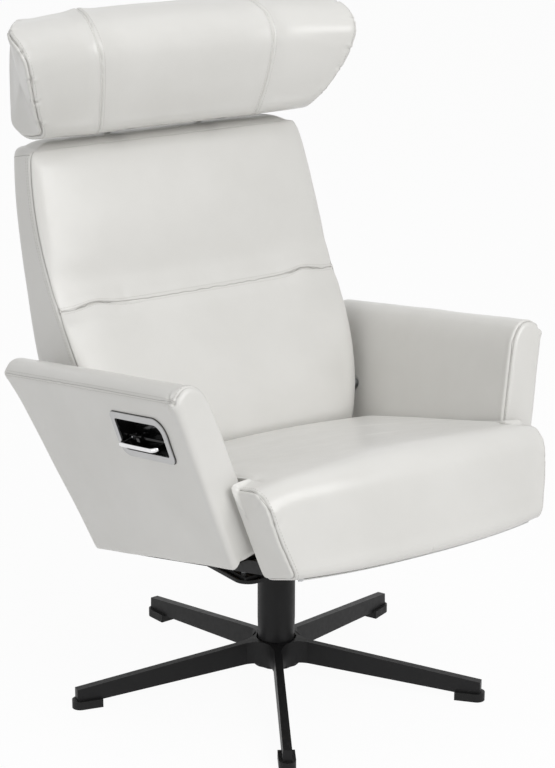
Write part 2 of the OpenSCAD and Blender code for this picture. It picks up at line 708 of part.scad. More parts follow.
// Release lever, its recess and its cable
module opening(grow) soft_rect(bezel_l - 2 * bezel_w + 2 * grow, bezel_h - 2 * bezel_w + 2 * grow,
  [for (r = bezel_corners) max(r - bezel_w, inner_corner_r) + grow]);
module cup_outline(grow) opening(cup_wall + grow);
module bezel_ring() color(chrome) recess_frame() difference() {
  linear_extrude(bezel_t) soft_rect(bezel_l, bezel_h, bezel_corners);
  translate([0, 0, -over]) linear_extrude(bezel_t + 2 * over) opening(0);
}
module bar_y(r, from, to) translate([from, pull_z, -lever_axis_a]) rotate([0, 90, 0]) cylinder(r = r, h = to - from);
module recess_cup() color(black_plastic) recess_frame() difference() {
  translate([0, 0, -cup_d]) linear_extrude(cup_d) cup_outline(0);
  translate([0, 0, cup_wall - cup_d]) linear_extrude(cup_d) opening(0);
  bar_y(shaft_r + fit, -bezel_l, bezel_l);
}
module lever_shaft() color(bare_steel) recess_frame() bar_y(shaft_r, -shaft_half, shaft_half);
module pull_leg(x) {
  translate([x, pull_z, -lever_axis_a]) cylinder(r = pull_r, h = lever_axis_a + pull_proud - pull_bend);
  bar_y(shaft_r + pull_hub_wall, x - pull_hub_half, x + pull_hub_half);
}
module pull_corner(turn) rotate([90, 0, turn]) rotate_extrude(angle = 90) translate([pull_bend, 0]) circle(pull_r);
module release_lever() color(chrome) recess_frame() difference() {
  union() {
    for (side = [-1, 1]) {
      pull_leg(pull_x + side * pull_l / 2);
      translate([pull_x + side * (pull_l / 2 - pull_bend), pull_z, pull_proud - pull_bend]) pull_corner(side < 0 ? 180 : 0);
    }
    translate([pull_x - pull_l / 2 + pull_bend, pull_z, pull_proud]) rotate([0, 90, 0])
      cylinder(r = pull_r, h = pull_l - 2 * pull_bend);
  }
  bar_y(shaft_r, -bezel_l, bezel_l);
}
module lever_cam() color(black_plastic) recess_frame() difference() {
  union() {
    bar_y(shaft_r + cam_wall, cam_x - cam_t / 2, cam_x + cam_t / 2);
    box([cam_x - cam_t / 2, pull_z - cam_wall, -lever_axis_a], [cam_x + cam_t / 2, pull_z + cam_wall, cam_reach - lever_axis_a]);
  }
  bar_y(shaft_r, -bezel_l, bezel_l);
}
function unit(v) = v / norm(v);
// Ring of points round a route point p whose direction is d
function cable_ring(p, d) =
  let (s = unit(cross(d, abs(d[2]) > 0.9 ? [1, 0, 0] : [0, 0, 1])), u = cross(s, d))
  [for (k = [0:cable_sides - 1]) p + cable_r * (cos(360 * k / cable_sides) * s + sin(360 * k / cable_sides) * u)];
module release_cable() color(black_plastic) seat_unit() {
  count = (len(cable_route) - 1) * cable_steps;
  route = [for (i = [0:count]) along(cable_route, i / count)];
  rings = [for (i = [0:count]) cable_ring(route[i],
    unit(route[min(i + 1, count)] - route[max(i - 1, 0)]))];
  skin(rings, route[0], route[count]);
}

// Gas spring
module spring_frame() seat_unit() translate([0, anchor_y, anchor_z]) rotate([spring_rise, 0, 0]) children();
module along_spring(r, from, to) translate([0, from, 0]) rotate([-90, 0, 0]) cylinder(r = r, h = to - from);
module spring_anchor() color(black_steel) seat_unit() difference() {
  both() {
    box([ear_x, front_tube_y - tube_w / 2, frame_top], [ear_x + ear_t, front_tube_y + tube_w / 2, frame_top + ear_t]);
    box([ear_x, front_tube_y - tube_w / 4, frame_top], [ear_x + ear_t, anchor_y, anchor_z + ear_r]);
    translate([ear_x, anchor_y, anchor_z]) rotate([0, 90, 0]) cylinder(r = ear_r, h = ear_t);
    box([0, front_tube_y - tube_w / 2, frame_top], [ear_x + ear_t, front_tube_y + tube_w / 4, frame_top + ear_t]);
  }
  bar_x(-ear_x - 2 * ear_t, ear_x + 2 * ear_t, anchor_y, anchor_z, drive_r);
}
module anchor_pin() color(bare_steel) seat_unit() bar_x(-ear_x - ear_t, ear_x + ear_t, anchor_y, anchor_z, drive_r);
module release_head() color(black_plastic) spring_frame() difference() {
  union() {
    bar_x(-head_w, head_w, 0, 0, ear_r);
    box([-head_w, 0, -ear_r], [head_w, head_l, ear_r]);
    bar_x(-cable_end_x, 0, cable_head_y, 0, cable_r + cup_wall);
  }
  bar_x(-ear_x, ear_x, 0, 0, drive_r + fit);
  along_spring(piston_rod_r, head_l - rod_seat, head_l + over);
  translate([0, cable_head_y, 0]) cylinder(r = valve_pin_r + fit, h = ear_r + over);
}
module valve_lever() color(bare_steel) spring_frame() {
  translate([0, cable_head_y, ear_r - valve_pin_l]) cylinder(r = valve_pin_r, h = valve_pin_l + gap);
  box([-cable_end_x, cable_head_y - valve_pin_r, ear_r + gap], [head_w, cable_head_y + valve_pin_r, ear_r + gap + cup_wall]);
}
module piston_rod() color(bare_steel) spring_frame() {
  along_spring(piston_rod_r, head_l - rod_seat, tube_start + rod_inside);
  along_spring(spring_r - spring_wall - fit, tube_start + rod_inside - piston_l, tube_start + rod_inside);
}
module spring_tube() color(black_steel) spring_frame() difference() {
  union() {
    along_spring(spring_r, tube_start, spring_len - clevis_l);
    for (x = [-1, 1]) translate([x * (lever_t / 2 + clevis_gap + clevis_t / 2), 0, 0]) {
      box([-clevis_t / 2, spring_len - clevis_l - over, -clevis_r / 2], [clevis_t / 2, spring_len, clevis_r / 2]);
      bar_x(-clevis_t / 2, clevis_t / 2, spring_len, 0, clevis_r);
    }
  }
  along_spring(spring_r - spring_wall, tube_start + spring_wall, spring_len - clevis_l - spring_wall);
  along_spring(piston_rod_r + fit, tube_start - over, tube_start + 2 * spring_wall);
  bar_x(-spring_r - over, spring_r + over, spring_len, 0, drive_r + clevis_play);
}

// Seat
module seat_pan() color(plywood) seat_unit() translate([0, 0, pan_z]) linear_extrude(pan_t) difference() {
  translate([-pan_half_w, -pan_front]) square([2 * pan_half_w, pan_front + pan_rear]);
  translate([-pan_slot_half_w, pan_slot_y]) square([2 * pan_slot_half_w, pan_front + pan_rear]);
}
module slide_blocks() color(black_plastic) seat_unit() both() difference() {
  for (y = block_ys) box([rod_x - block_half_w, y - block_half_l, frame_under], [rod_x + block_half_w, y + block_half_l, pan_z]);
  translate([rod_x, -arm_front, rod_z]) rotate([-90, 0, 0]) cylinder(r = rod_r + fit, h = 2 * arm_front);
}
module seat_brackets() color(black_steel) seat_unit() both() difference() {
  union() {
    box([bracket_x, drive_y - slot_r, pan_z + pan_t], [bracket_x + sheet_t, drive_y + slot_r, drive_z]);
    bar_x(bracket_x, bracket_x + sheet_t, drive_y, drive_z, slot_r);
    box([bracket_x - slot_r, drive_y - slot_r, pan_z + pan_t], [bracket_x + sheet_t, drive_y + slot_r, pan_z + pan_t + sheet_t / 2]);
  }
  for (z = [0, -slot_drop]) bar_x(bracket_x - over, bracket_x + sheet_t + over, drive_y, drive_z + z, drive_r + gap);
  box([bracket_x - over, drive_y - drive_r - gap, drive_z - slot_drop], [bracket_x + sheet_t + over, drive_y + drive_r + gap, drive_z]);
}
// Outline of the seat cushion's section as shares of its half width and of its height
seat_section_shares = [[0, 0], [0.3, 0], [0.6, 0], [0.85, 0], [0.96, 0.02], [0.99, 0.1], [0.985, 0.3], [0.985, 0.5], [0.99, 0.68],
  [1, 0.8], [0.995, 0.9], [0.97, 0.97], [0.9, 1], [0.75, 1], [0.5, 1], [0.25, 1]];
seat_outline = let (h = seat_section_shares, n = len(h) - 1)
  concat(h, [[0, 1]], [for (i = [n:-1:1]) [-h[i][0], h[i][1]]]);
nose_side_share = 0.3;
nose_foot_share = 0.15;
seat_rear_share = 0.6;
function seat_ring(d) =
  let (y = d - seat_front, nose = y < -nose_y,
       low = nose ? -nose_drop : pan_z + pan_t,
       pull = drawn_in(d, seat_edge_r), rear = drawn_in(seat_length - d, seat_rear_r),
       half = (nose ? nose_half_w : arm_foot_x - arm_t / cos(arm_lean) - seat_side_gap) - pull * nose_side_share,
       lift = seat_top - pull - rear * seat_rear_share, foot = low + (nose ? pull * nose_foot_share : 0),
       bow = nose ? min(1, (-nose_y - y) / nose_end) : 0)
  [for (s = seat_outline)
    let (z = mix(foot, lift, s[1]), crown = s[1] < 1 ? 0 : seat_crown * (1 - s[0] * s[0]),
         x = s[0] * (half + z * tan(arm_lean) * flare_share))
    [x, y - bow * seat_bow * (1 - s[0] * s[0]), z + crown]];
module seat_skin() {
  rings = [for (d = seat_stations) seat_ring(d)];
  last = middle(rings[len(rings) - 1]);
  skin(rings, middle(rings[0]) - [0, seat_bow / 2, 0], last);
}
module seat_cushion() color(leather) seat_unit() seat_skin();
module lining_section(grow) polygon([[-nose_y + gap, pan_z - grow], [-nose_y + gap, -nose_drop - gap],
  [-lining_front, -nose_drop - gap], [-lining_front, -nose_drop - gap - lining_t],
  [-nose_y + gap + lining_t, -nose_drop - gap - lining_t], [-nose_y + gap + lining_t, pan_z - grow]]);
module seat_lining() color(leather) seat_unit() difference() {
  translate([-lining_half_w, 0, 0]) rotate([90, 0, 90]) linear_extrude(2 * lining_half_w) lining_section(0);
  lining_screw_places() translate([0, 0, -over]) cylinder(r = screw_r, h = lining_t + 2 * over);
}
module lining_screw_places() for (x = [-1, -0.35, 0.35, 1])
  translate([x * (lining_half_w - 3 * screw_head_r), -(nose_y + lining_front) / 2, -nose_drop - gap - lining_t]) children();
module lining_screws() color(bare_steel) seat_unit() lining_screw_places() {
  translate([0, 0, -screw_head_r / 2]) cylinder(r = screw_head_r, h = screw_head_r / 2);
  cylinder(r = screw_r - fit, h = lining_t);
}

// Backrest
back_taper_shares = [1, 0.8, 0.5, 0.275, 0.1, 0.035, 0.02, 0, 0.02, 0.09, 0.22];
back_seam_ys = [86, 85, 88, 97, 113, 131, 151, 165, 175, 181, 184];
back_front_ys = [50, 42, 48, 64, 90, 116, 141, 141, 144, 153, 168];
function back_t(z) = (z - back_foot) / (back_top - back_foot);
function back_half(z) = back_half_w - back_taper * along(back_taper_shares, back_t(z));
function back_seam(z) = along(back_seam_ys, back_t(z));
// Bulge of the backrest's front at shares of its half width
back_bulge_shares = [[1, 0], [0.993, 0.16], [0.97, 0.34], [0.92, 0.53], [0.83, 0.7], [0.7, 0.83], [0.53, 0.92], [0.35, 0.97], [0.17, 0.995],
  [0, 1]];
back_station_shares = [-0.02, 0.005, 0.03, 0.08, 0.15, 0.24, 0.33, 0.42, 0.48, 0.5, 0.52, 0.58, 0.67, 0.76, 0.85, 0.91, 0.95, 0.975, 0.992, 1];
function lumbar_dip(z) = seam_depth * max(0, 1 - abs(z - lumbar_z) / (2 * seam_depth));
function back_z(t) = t < 0.5 ? mix(plug_foot, lumbar_z, t * 2) : mix(lumbar_z, back_top, t * 2 - 1);
function back_ring(t) =
  let (z = back_z(t), pz = mix(plug_foot, plug_top, t), b = back_half(z), pb = back_half(pz) - plug_inset, seam = back_seam(z),
       round_top = sqrt(max(0, 1 - pow(max(0, z - back_top + back_edge_r) / back_edge_r, 2))),
       round_foot = sqrt(max(0, 1 - pow(max(0, plug_foot + back_edge_r - z) / back_edge_r, 2) * foot_round_share)),
       depth = (seam - along(back_front_ys, back_t(z)) - lumbar_dip(z)) * round_top * round_foot + gap,
       side = [[pb - plug_inset / 2, plug_rear - gap, pz], [pb, plug_rear - plug_inset / 2, pz], [pb, mix(seam, plug_rear, 0.5), pz],
         [pb, back_seam(pz), pz], [b - gap, seam, z]],
       front = [for (s = back_bulge_shares) [s[0] * b, seam - s[1] * depth, z]],
       half = concat(side, front), n = len(half))
  concat(half, [for (i = [n - 2:-1:0]) [-half[i][0], half[i][1], half[i][2]]], [[0, plug_rear - gap, pz]]);
foot_round_share = 0.7;
module back_skin() {
  rings = [for (t = back_station_shares) back_ring(t)];
  skin(rings, [0, mix(middle(rings[0])[1], plug_rear, 0.6), plug_foot],
    [0, mix(middle(rings[len(rings) - 1])[1], plug_rear, 0.3), mix(plug_top, back_top, 0.6)]);
}
module back_cushion() color(leather) seat_unit() difference() {
  back_skin();
  box([-2 * back_half_w, 0, 0], [2 * back_half_w, back_rear, plug_foot]);
  both() {
    box([slot_x, slot_front, slot_low], [slot_x + slot_w, plug_rear + over, slot_high]);
    bar_x(slot_x + over, back_half_w, pivot_y, pivot_z, pivot_r + gap);
  }
}
shell_station_shares = [0, 0.01, 0.03, 0.1, 0.2, 0.32, 0.44, 0.56, 0.68, 0.8, 0.9, 0.96, 0.985, 1];
// Ring of the rear shell at share t of its height, set in by d
function shell_ring(t, d) =
  let (z = mix(back_foot + d, back_top - d, t), b = back_half(z) - d, seam = back_seam(z) + rim_gap - d,
       rear = back_rear - d, r = shell_corner_r - d, k = 1 - cos(45),
       half = [[b, seam], [b, mix(seam, rear - r, 0.5)], [b, rear - r], [b - r * k * 0.4, rear - r * 0.6], [b - r * k, rear - r * k],
         [b - r * 0.6, rear - r * k * 0.4], [b - r, rear], [b / 2, rear]], n = len(half),
       all = concat(half, [[0, rear]], [for (i = [n - 1:-1:0]) [-half[i][0], half[i][1]]], [[-b / 2, seam], [0, seam], [b / 2, seam]]))
  [for (i = [len(all) - 1:-1:0]) let (p = all[i]) [p[0], p[1], z + back_slope * (p[1] - back_seam(back_top)) * pow(t, 6)]];
module shell_skin(d) {
  rings = [for (t = shell_station_shares) shell_ring(t, d)];
  skin(rings, middle(rings[0]), middle(rings[len(rings) - 1]));
}
module back_shell() color(leather) seat_unit() difference() {
  shell_skin(0);
  intersection() {
    translate([0, -over, 0]) shell_skin(shell_t);
    box([-back_half_w, 0, 0], [back_half_w, back_rear, 2 * back_top]);
  }
  box([-shell_mouth_half_w, 0, 0], [shell_mouth_half_w, back_rear - shell_t, back_foot + 2 * shell_t]);
  both() {
    bar_x(slot_x, back_half_w, pivot_y, pivot_z, pivot_r + gap);
    translate([stay_x, stay_y, back_top - shell_t * 2]) cylinder(r = sleeve_r + gap, h = shell_t * 4);
  }
}
module back_board() color(plywood) seat_unit() difference() {
  box([-back_board_half_w, plug_rear, plug_foot + lever_t], [back_board_half_w, frame_y - gap, cross_zs[2][1]]);
  both() box([slot_x, plug_rear - over, slot_low], [slot_x + slot_w, frame_y, slot_high]);
}
module link(x, t, p, q, r) {
  translate([x, p[0], p[1]]) rotate([atan2(q[1] - p[1], q[0] - p[0]), 0, 0])
    box([0, 0, -r * link_share], [t, norm(q - p), r * link_share]);
  bar_x(x - link_boss, x + t + link_boss, q[0], q[1], r);
}
module hollow(low, high, axis) difference() {
  box(low, high);
  box([for (k = [0:2]) low[k] + (k == axis ? -over : tube_wall)], [for (k = [0:2]) high[k] + (k == axis ? over : -tube_wall)]);
}
module back_frame() color(black_steel) seat_unit() difference() {
  union() {
    both() {
      hollow([upright_x - upright_w / 2, frame_y, cross_zs[0][0]], [upright_x + upright_w / 2, frame_y + frame_d, cross_zs[2][1]], 2);
      link(lever_x - lever_t / 2, lever_t, [frame_y + frame_d / 2, pivot_z], [pivot_y, pivot_z], pivot_boss_r);
      link(lever_x - lever_t / 2, lever_t, [pivot_y, pivot_z], [drive_y, drive_z], lever_end_r);
    }
    for (z = cross_zs) hollow([upright_w / 2 - upright_x, frame_y, z[0]], [upright_x - upright_w / 2, frame_y + frame_d, z[1]], 0);
    link(-lever_t / 2, lever_t, [frame_y + frame_d / 2, cross_zs[0][0]], [spring_y, spring_z], lever_end_r);
  }
  both() {
    bar_x(0, back_half_w, pivot_y, pivot_z, pivot_r);
    bar_x(lever_x - lever_t, lever_x + lever_t, drive_y, drive_z, drive_r);
    translate([stay_x, stay_y, cross_zs[2][0] - over]) cylinder(r = sleeve_r, h = frame_d + 2 * over);
  }
  bar_x(-lever_t, lever_t, spring_y, spring_z, drive_r);
}
module pivot_pins() color(bare_steel) seat_unit() both() {
  bar_x(slot_x + gap, bush_far_x - pin_end_t - gap, pivot_y, pivot_z, pivot_r);
}
module drive_pins() color(bare_steel) seat_unit() both()
  bar_x(lever_x - lever_t / 2, bracket_x + 2 * sheet_t - over, drive_y, drive_z, drive_r);
module spring_pin() color(bare_steel) seat_unit() bar_x(-head_w - pin_end_t, head_w + pin_end_t, spring_y, spring_z, drive_r);

// Headrest
module stay_sleeves() color(black_plastic) seat_unit() both() translate([stay_x, stay_y, 0]) difference() {
  translate([0, 0, sleeve_foot_z]) cylinder(r = sleeve_r, h = sleeve_top_z - sleeve_foot_z);
  translate([0, 0, sleeve_foot_z - over]) cylinder(r = stay_r + fit, h = sleeve_top_z);
}
module headrest_bracket() color(chrome) seat_unit() {
  bar_x(-hinge_half_l, hinge_half_l, hinge_y, hinge_z, hinge_r);
  both() translate([stay_x, stay_y, 0]) {
    translate([0, 0, stay_foot_z]) cylinder(r = stay_r, h = stay_bend_z - stay_foot_z);
    translate([0, 0, stay_bend_z]) sphere(stay_r + stay_knuckle);
    translate([0, 0, stay_bend_z]) rotate([stay_lean, 0, 0]) cylinder(r = stay_r, h = stay_run);
  }
}
// Height that the headrest's section tables are drawn for
drawn_head_h = 200;
head_section = [[135, 8], [117, 35], [101, 62], [84, 99], [79, 118], [81, 139], [94, 163], [120, 184], [142, 194], [165, 200],
  [188, 175], [204, 135], [212, 95], [219, 60], [223, 23], [210, 7], [190, 0], [168, -2], [146, 0]];
head_end_section = [[116, 13], [96, 35], [80, 57], [62, 87], [53, 105], [47, 131], [58, 157], [90, 183], [124, 193], [158, 196],
  [184, 173], [201, 133], [210, 95], [217, 60], [221, 25], [208, 8], [188, 1], [160, -1], [136, 1]];
head_station_shares = [0, 0.006, 0.02, 0.05, 0.12, 0.2, 0.214, 0.22, 0.226, 0.24, 0.36, 0.5];
function head_ring(t) =
  let (m = [for (i = [0:len(head_section) - 1]) mix(head_end_section[i], head_section[i], min(1, t / 0.22))],
       cy = mix(middle_of(m, 0), board_y, 0.2), cz = middle_of(m, 1),
       d = drawn_in(t * 2 * head_half_w, head_end_r), seam = head_seam_d * max(0, 1 - abs(t - 0.22) / 0.008),
       k = 1 - d / (head_h / 2) - seam / (head_h / 2))
  [for (p = m)
    let (y = cy + (p[0] - cy) * k, z = (cz + (p[1] - cz) * k) * head_h / drawn_head_h)
    [(0.5 - t) * 2 * (head_half_w + head_flare * z / head_h), y, head_foot + z]];
head_end_r = 16;
function middle_of(m, k) = let (v = [for (p = m) p[k]]) (min(v) + max(v)) / 2;
module head_skin() {
  right = [for (t = head_station_shares) head_ring(t)];
  n = len(right);
  left = [for (i = [n - 2:-1:0]) [for (p = right[i]) [-p[0], p[1], p[2]]]];
  rings = concat(right, left);
  skin(rings, middle(rings[0]), middle(rings[len(rings) - 1]));
}
module headrest_cushion() color(leather) seat_unit() difference() {
  head_skin();
  box([-board_half_w - gap, board_y - gap, board_low - gap], [board_half_w + gap, board_y + board_d + gap, board_high + gap]);
  box([-pocket_half_w, board_y, pocket_low], [pocket_half_w, pocket_rear, pocket_high]);
  both() box([stay_x - rod_slot_half_w, board_y, rod_slot_low], [stay_x + rod_slot_half_w, rod_slot_rear, hinge_z]);
}
module headrest_board() color(plywood) seat_unit()
  box([-board_half_w, board_y, board_low], [board_half_w, board_y + board_d, board_high]);
module hinge_clamps() color(black_plastic) seat_unit() both() difference() {
  for (x = clamp_xs) {
    bar_x(x - clamp_t / 2, x + clamp_t / 2, hinge_y, hinge_z, clamp_r + hinge_r - clamp_r / 2);
    box([x - clamp_t / 2, board_y + board_d, hinge_z - clamp_r], [x + clamp_t / 2, hinge_y, hinge_z + clamp_r]);
  }
  bar_x(-over, hinge_half_l + over, hinge_y, hinge_z, hinge_r + fit);
}

star_base();
foot_pads();
column_tube();
column_plug();
base_bolt();
base_washer();
lower_bush();
upper_bush();
thrust_washer();
spindle();
spindle_clip();
spindle_bolts();
mounting_plate();
wedge_brackets();
plate_bolts();
cross_tubes();
side_rails();
guide_rods();
arm_brackets();
arm_bolts();
left_arm_board();
right_arm_board();
left_arm_pad();
right_arm_pad();
pivot_bushes();
bezel_ring();
recess_cup();
release_cable();
spring_anchor();
anchor_pin();
release_head();
piston_rod();
spring_tube();
valve_lever();
release_lever();
lever_shaft();
lever_cam();
seat_pan();
slide_blocks();
seat_brackets();
seat_cushion();
seat_lining();
lining_screws();
back_frame();
back_board();
back_shell();
back_cushion();
pivot_pins();
drive_pins();
spring_pin();
stay_sleeves();
headrest_bracket();
headrest_board();
hinge_clamps();
headrest_cushion();
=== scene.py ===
# Star base swivel recliner: leather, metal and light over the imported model.
import json
import math

import bpy
import bmesh
import numpy as np
from mathutils import Matrix, Vector
from mathutils import noise as value_noise
from mathutils.bvhtree import BVHTree
from mathutils.kdtree import KDTree


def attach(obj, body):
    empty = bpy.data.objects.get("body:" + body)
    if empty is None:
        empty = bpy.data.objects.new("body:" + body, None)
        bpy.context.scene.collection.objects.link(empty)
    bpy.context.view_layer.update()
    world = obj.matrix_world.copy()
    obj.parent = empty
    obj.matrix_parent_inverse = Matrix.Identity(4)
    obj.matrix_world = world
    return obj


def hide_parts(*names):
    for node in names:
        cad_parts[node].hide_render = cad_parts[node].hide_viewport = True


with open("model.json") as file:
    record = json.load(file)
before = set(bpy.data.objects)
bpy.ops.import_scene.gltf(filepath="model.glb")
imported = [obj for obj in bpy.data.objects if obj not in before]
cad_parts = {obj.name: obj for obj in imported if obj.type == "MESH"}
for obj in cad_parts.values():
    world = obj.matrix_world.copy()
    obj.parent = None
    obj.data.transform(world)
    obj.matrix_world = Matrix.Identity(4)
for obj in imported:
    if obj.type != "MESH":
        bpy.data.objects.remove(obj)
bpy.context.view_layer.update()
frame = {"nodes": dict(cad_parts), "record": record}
nodes = frame["nodes"]

# Camera, at the photograph's viewing angle
camera_data = bpy.data.cameras.new("camera")
camera_data.sensor_width = 36.0
camera_data.lens = 106.18
camera = bpy.data.objects.new("camera", camera_data)
bpy.context.scene.collection.objects.link(camera)
camera.location = (-1.9869, -2.8492, 1.5642)
view_turn = Vector((0.54755, 0.78473, -0.29049)).to_track_quat("-Z", "Y").to_matrix()
camera.rotation_euler = (view_turn @ Matrix.Rotation(0.00298, 3, "Z")).to_euler()
bpy.context.scene.camera = camera

# Frames of the tilted seat unit and of the arms, in metres
TILT = math.radians(12.9)   # how far the seat unit tilts back
UNIT_Z = 0.284              # its origin over the floor
CT, ST = math.cos(TILT), math.sin(TILT)
LEAN = math.radians(15.2)   # how far the arms lean outward
ARM_X = 0.279               # an arm's outer face at the unit's floor
ARM_THICK = 0.060
PIVOT = (0.110, 0.175)      # Y and w of the recline pivot


def unit_to_row(p):
    """Points (x, Y, w) of the tilted seat unit, as an (n, 3) array, in the row frame."""
    p = np.asarray(p, float)
    y, w = p[..., 1], p[..., 2]
    return np.stack([p[..., 0], y * CT + w * ST, UNIT_Z - y * ST + w * CT], -1)


def arm_to_row(p, side):
    """Points (out, Y, h) of an arm's frame, side 1 for the left arm and -1 for the right one."""
    p = np.asarray(p, float)
    x = ARM_X + p[..., 0] * math.cos(LEAN) + p[..., 2] * math.sin(LEAN)
    w = -p[..., 0] * math.sin(LEAN) + p[..., 2] * math.cos(LEAN)
    return unit_to_row(np.stack([side * x, p[..., 1], w], -1))


RECESS_TURN = math.radians(4.4)
RECESS_Y, RECESS_H = -0.182, 0.206
RECESS_LONG, RECESS_HIGH = 0.146 - 0.021, 0.072 - 0.021


def recess_to_row(p):
    """Points (rearward, up, out) of the lever recess in the right arm."""
    p = np.asarray(p, float)
    y = RECESS_Y + p[..., 0] * math.cos(RECESS_TURN) - p[..., 1] * math.sin(RECESS_TURN)
    h = RECESS_H + p[..., 0] * math.sin(RECESS_TURN) + p[..., 1] * math.cos(RECESS_TURN)
    return arm_to_row(np.stack([p[..., 2], y, h], -1), -1)


def along(values, t):
    """Smooth curve through evenly spread values, at shares t of its length."""
    v = np.asarray(values, float)
    n = len(v) - 1
    s = np.clip(np.asarray(t, float), 0, 1) * n
    i = np.minimum(np.floor(s).astype(int), n - 1)
    f = s - i
    if v.ndim > 1:
        f = f[..., None]
    b, c = v[i], v[i + 1]
    low, high = np.maximum(i - 1, 0), np.minimum(i + 2, n)
    a = np.where((i > 0).reshape(i.shape + (1,) * (v.ndim - 1)), v[low], 2 * b - c)
    d = np.where((i < n - 1).reshape(i.shape + (1,) * (v.ndim - 1)), v[high], 2 * c - b)
    return b + f * ((c - a) + f * ((2 * a - 5 * b + 4 * c - d) + f * (3 * (b - c) + d - a))) / 2


def spread_evenly(points, n):
    """n points spread evenly by length on the closed line through the given points."""
    loop = np.vstack([points, points[:1]])
    run = np.concatenate([[0], np.cumsum(np.linalg.norm(np.diff(loop, axis=0), axis=1))])
    want = np.linspace(0, run[-1], n, endpoint=False)
    return np.stack([np.interp(want, run, loop[:, k]) for k in range(loop.shape[1])], -1)


def closed_curve(points, n):
    """n points spread evenly by length on a smooth closed curve through the given points."""
    p = np.asarray(points, float)
    m = len(p)
    fine = []
    for i in range(m):
        a, b, c, d = p[i - 1], p[i], p[(i + 1) % m], p[(i + 2) % m]
        # centripetal spacing keeps tight corners from looping
        ta, tb, tc = [max(np.linalg.norm(q), 1e-9) ** 0.5 for q in (b - a, c - b, d - c)]
        for f in np.linspace(0, 1, 16, endpoint=False):
            t = f * tb
            a1 = (a * (0 - t) + b * (t + ta)) / ta
            a2 = (b * (tb - t) + c * t) / tb
            a3 = (c * (tb + tc - t) + d * (t - tb)) / tc
            b1 = (a1 * (tb - t) + a2 * (t + ta)) / (ta + tb)
            b2 = (a2 * (tb + tc - t) + a3 * t) / (tb + tc)
            fine.append((b1 * (tb - t) + b2 * t) / tb)
    return spread_evenly(np.array(fine), n)


def set_smooth(mesh):
    mesh.polygons.foreach_set("use_smooth", [True] * len(mesh.polygons))


def add_object(name, verts, faces):
    mesh = bpy.data.meshes.new(name)
    mesh.from_pydata([tuple(v) for v in verts], [], [tuple(f) for f in faces])
    mesh.validate()
    mesh.update()
    obj = bpy.data.objects.new(name, mesh)
    bpy.context.scene.collection.objects.link(obj)
    bm = bmesh.new()
    bm.from_mesh(mesh)
    bmesh.ops.recalc_face_normals(bm, faces=bm.faces)
    bm.to_mesh(mesh)
    bm.free()
    set_smooth(mesh)
    return obj


def loft(name, rings, caps=True):
    """Quads through equal rings of points, each a closed loop, with a cap at either end."""
    rings = np.asarray(rings, float)
    m, n = rings.shape[:2]
    verts = rings.reshape(-1, 3).tolist()
    faces = []
    for i in range(m - 1):
        for j in range(n):
            k = (j + 1) % n
            faces.append((i * n + j, i * n + k, (i + 1) * n + k, (i + 1) * n + j))
    if caps:
        for base, ring in ((0, rings[0]), ((m - 1) * n, rings[-1])):
            verts.append(ring.mean(0).tolist())
            c = len(verts) - 1
            for j in range(n):
                faces.append((base + j, base + (j + 1) % n, c))
    return add_object(name, verts, faces)


def apply_all(obj):
    dg = bpy.context.evaluated_depsgraph_get()
    dg.update()
    mesh = bpy.data.meshes.new_from_object(obj.evaluated_get(dg))
    old = obj.data
    obj.modifiers.clear()
    obj.data = mesh
    bpy.data.meshes.remove(old)
    set_smooth(mesh)


def subdivide(obj):
    mod = obj.modifiers.new("subdivision", "SUBSURF")
    mod.levels = mod.render_levels = 1
    apply_all(obj)


SHARP = math.radians(38)  # edges sharper than this stay sharp after a cut


def cut(obj, cutter):
    mod = obj.modifiers.new("cut", "BOOLEAN")
    mod.operation = "DIFFERENCE"
    mod.solver = "EXACT"
    mod.object = cutter
    apply_all(obj)
    obj.data.set_sharp_from_angle(angle=SHARP)
    bpy.data.objects.remove(cutter)


def tube(name, path, r, sides):
    """Tube of radius r along a path of points."""
    p = np.asarray(path, float)
    t = np.gradient(p, axis=0)
    t /= np.maximum(np.linalg.norm(t, axis=1), 1e-12)[:, None]
    u = np.cross(t[0], [0.3, 0.2, 1.0])
    turns = np.linspace(0, 2 * math.pi, sides, endpoint=False)
    rings = []
    for i in range(len(p)):
        u = u - t[i] * np.dot(u, t[i])
        u /= np.linalg.norm(u)
        v = np.cross(t[i], u)
        rings.append([p[i] + r * (math.cos(a) * u + math.sin(a) * v) for a in turns])
    return loft(name, rings)


def tree_of(obj):
    dg = bpy.context.evaluated_depsgraph_get()
    return BVHTree.FromObject(obj, dg)


def resample(path, spacing):
    p = np.asarray(path, float)
    run = np.concatenate([[0], np.cumsum(np.linalg.norm(np.diff(p, axis=0), axis=1))])
    n = max(2, int(round(run[-1] / spacing)) + 1)
    want = np.linspace(0, run[-1], n)
    return np.stack([np.interp(want, run, p[:, k]) for k in range(3)], -1)


def on_surface(tree, path, lift=0.0):
    """Path moved onto the nearest surface, with the surface's normals."""
    out, nor = [], []
    for q in path:
        hit, n, _, _ = tree.find_nearest(Vector(q), 0.03)
        if hit is None:
            continue
        out.append(np.array(hit + n * lift))
        nor.append(np.array(n))
    return np.array(out), np.array(nor)


PITCH, STITCH, THREAD_R, THREAD_LIFT = 0.0050, 0.0034, 0.00042, 0.00012


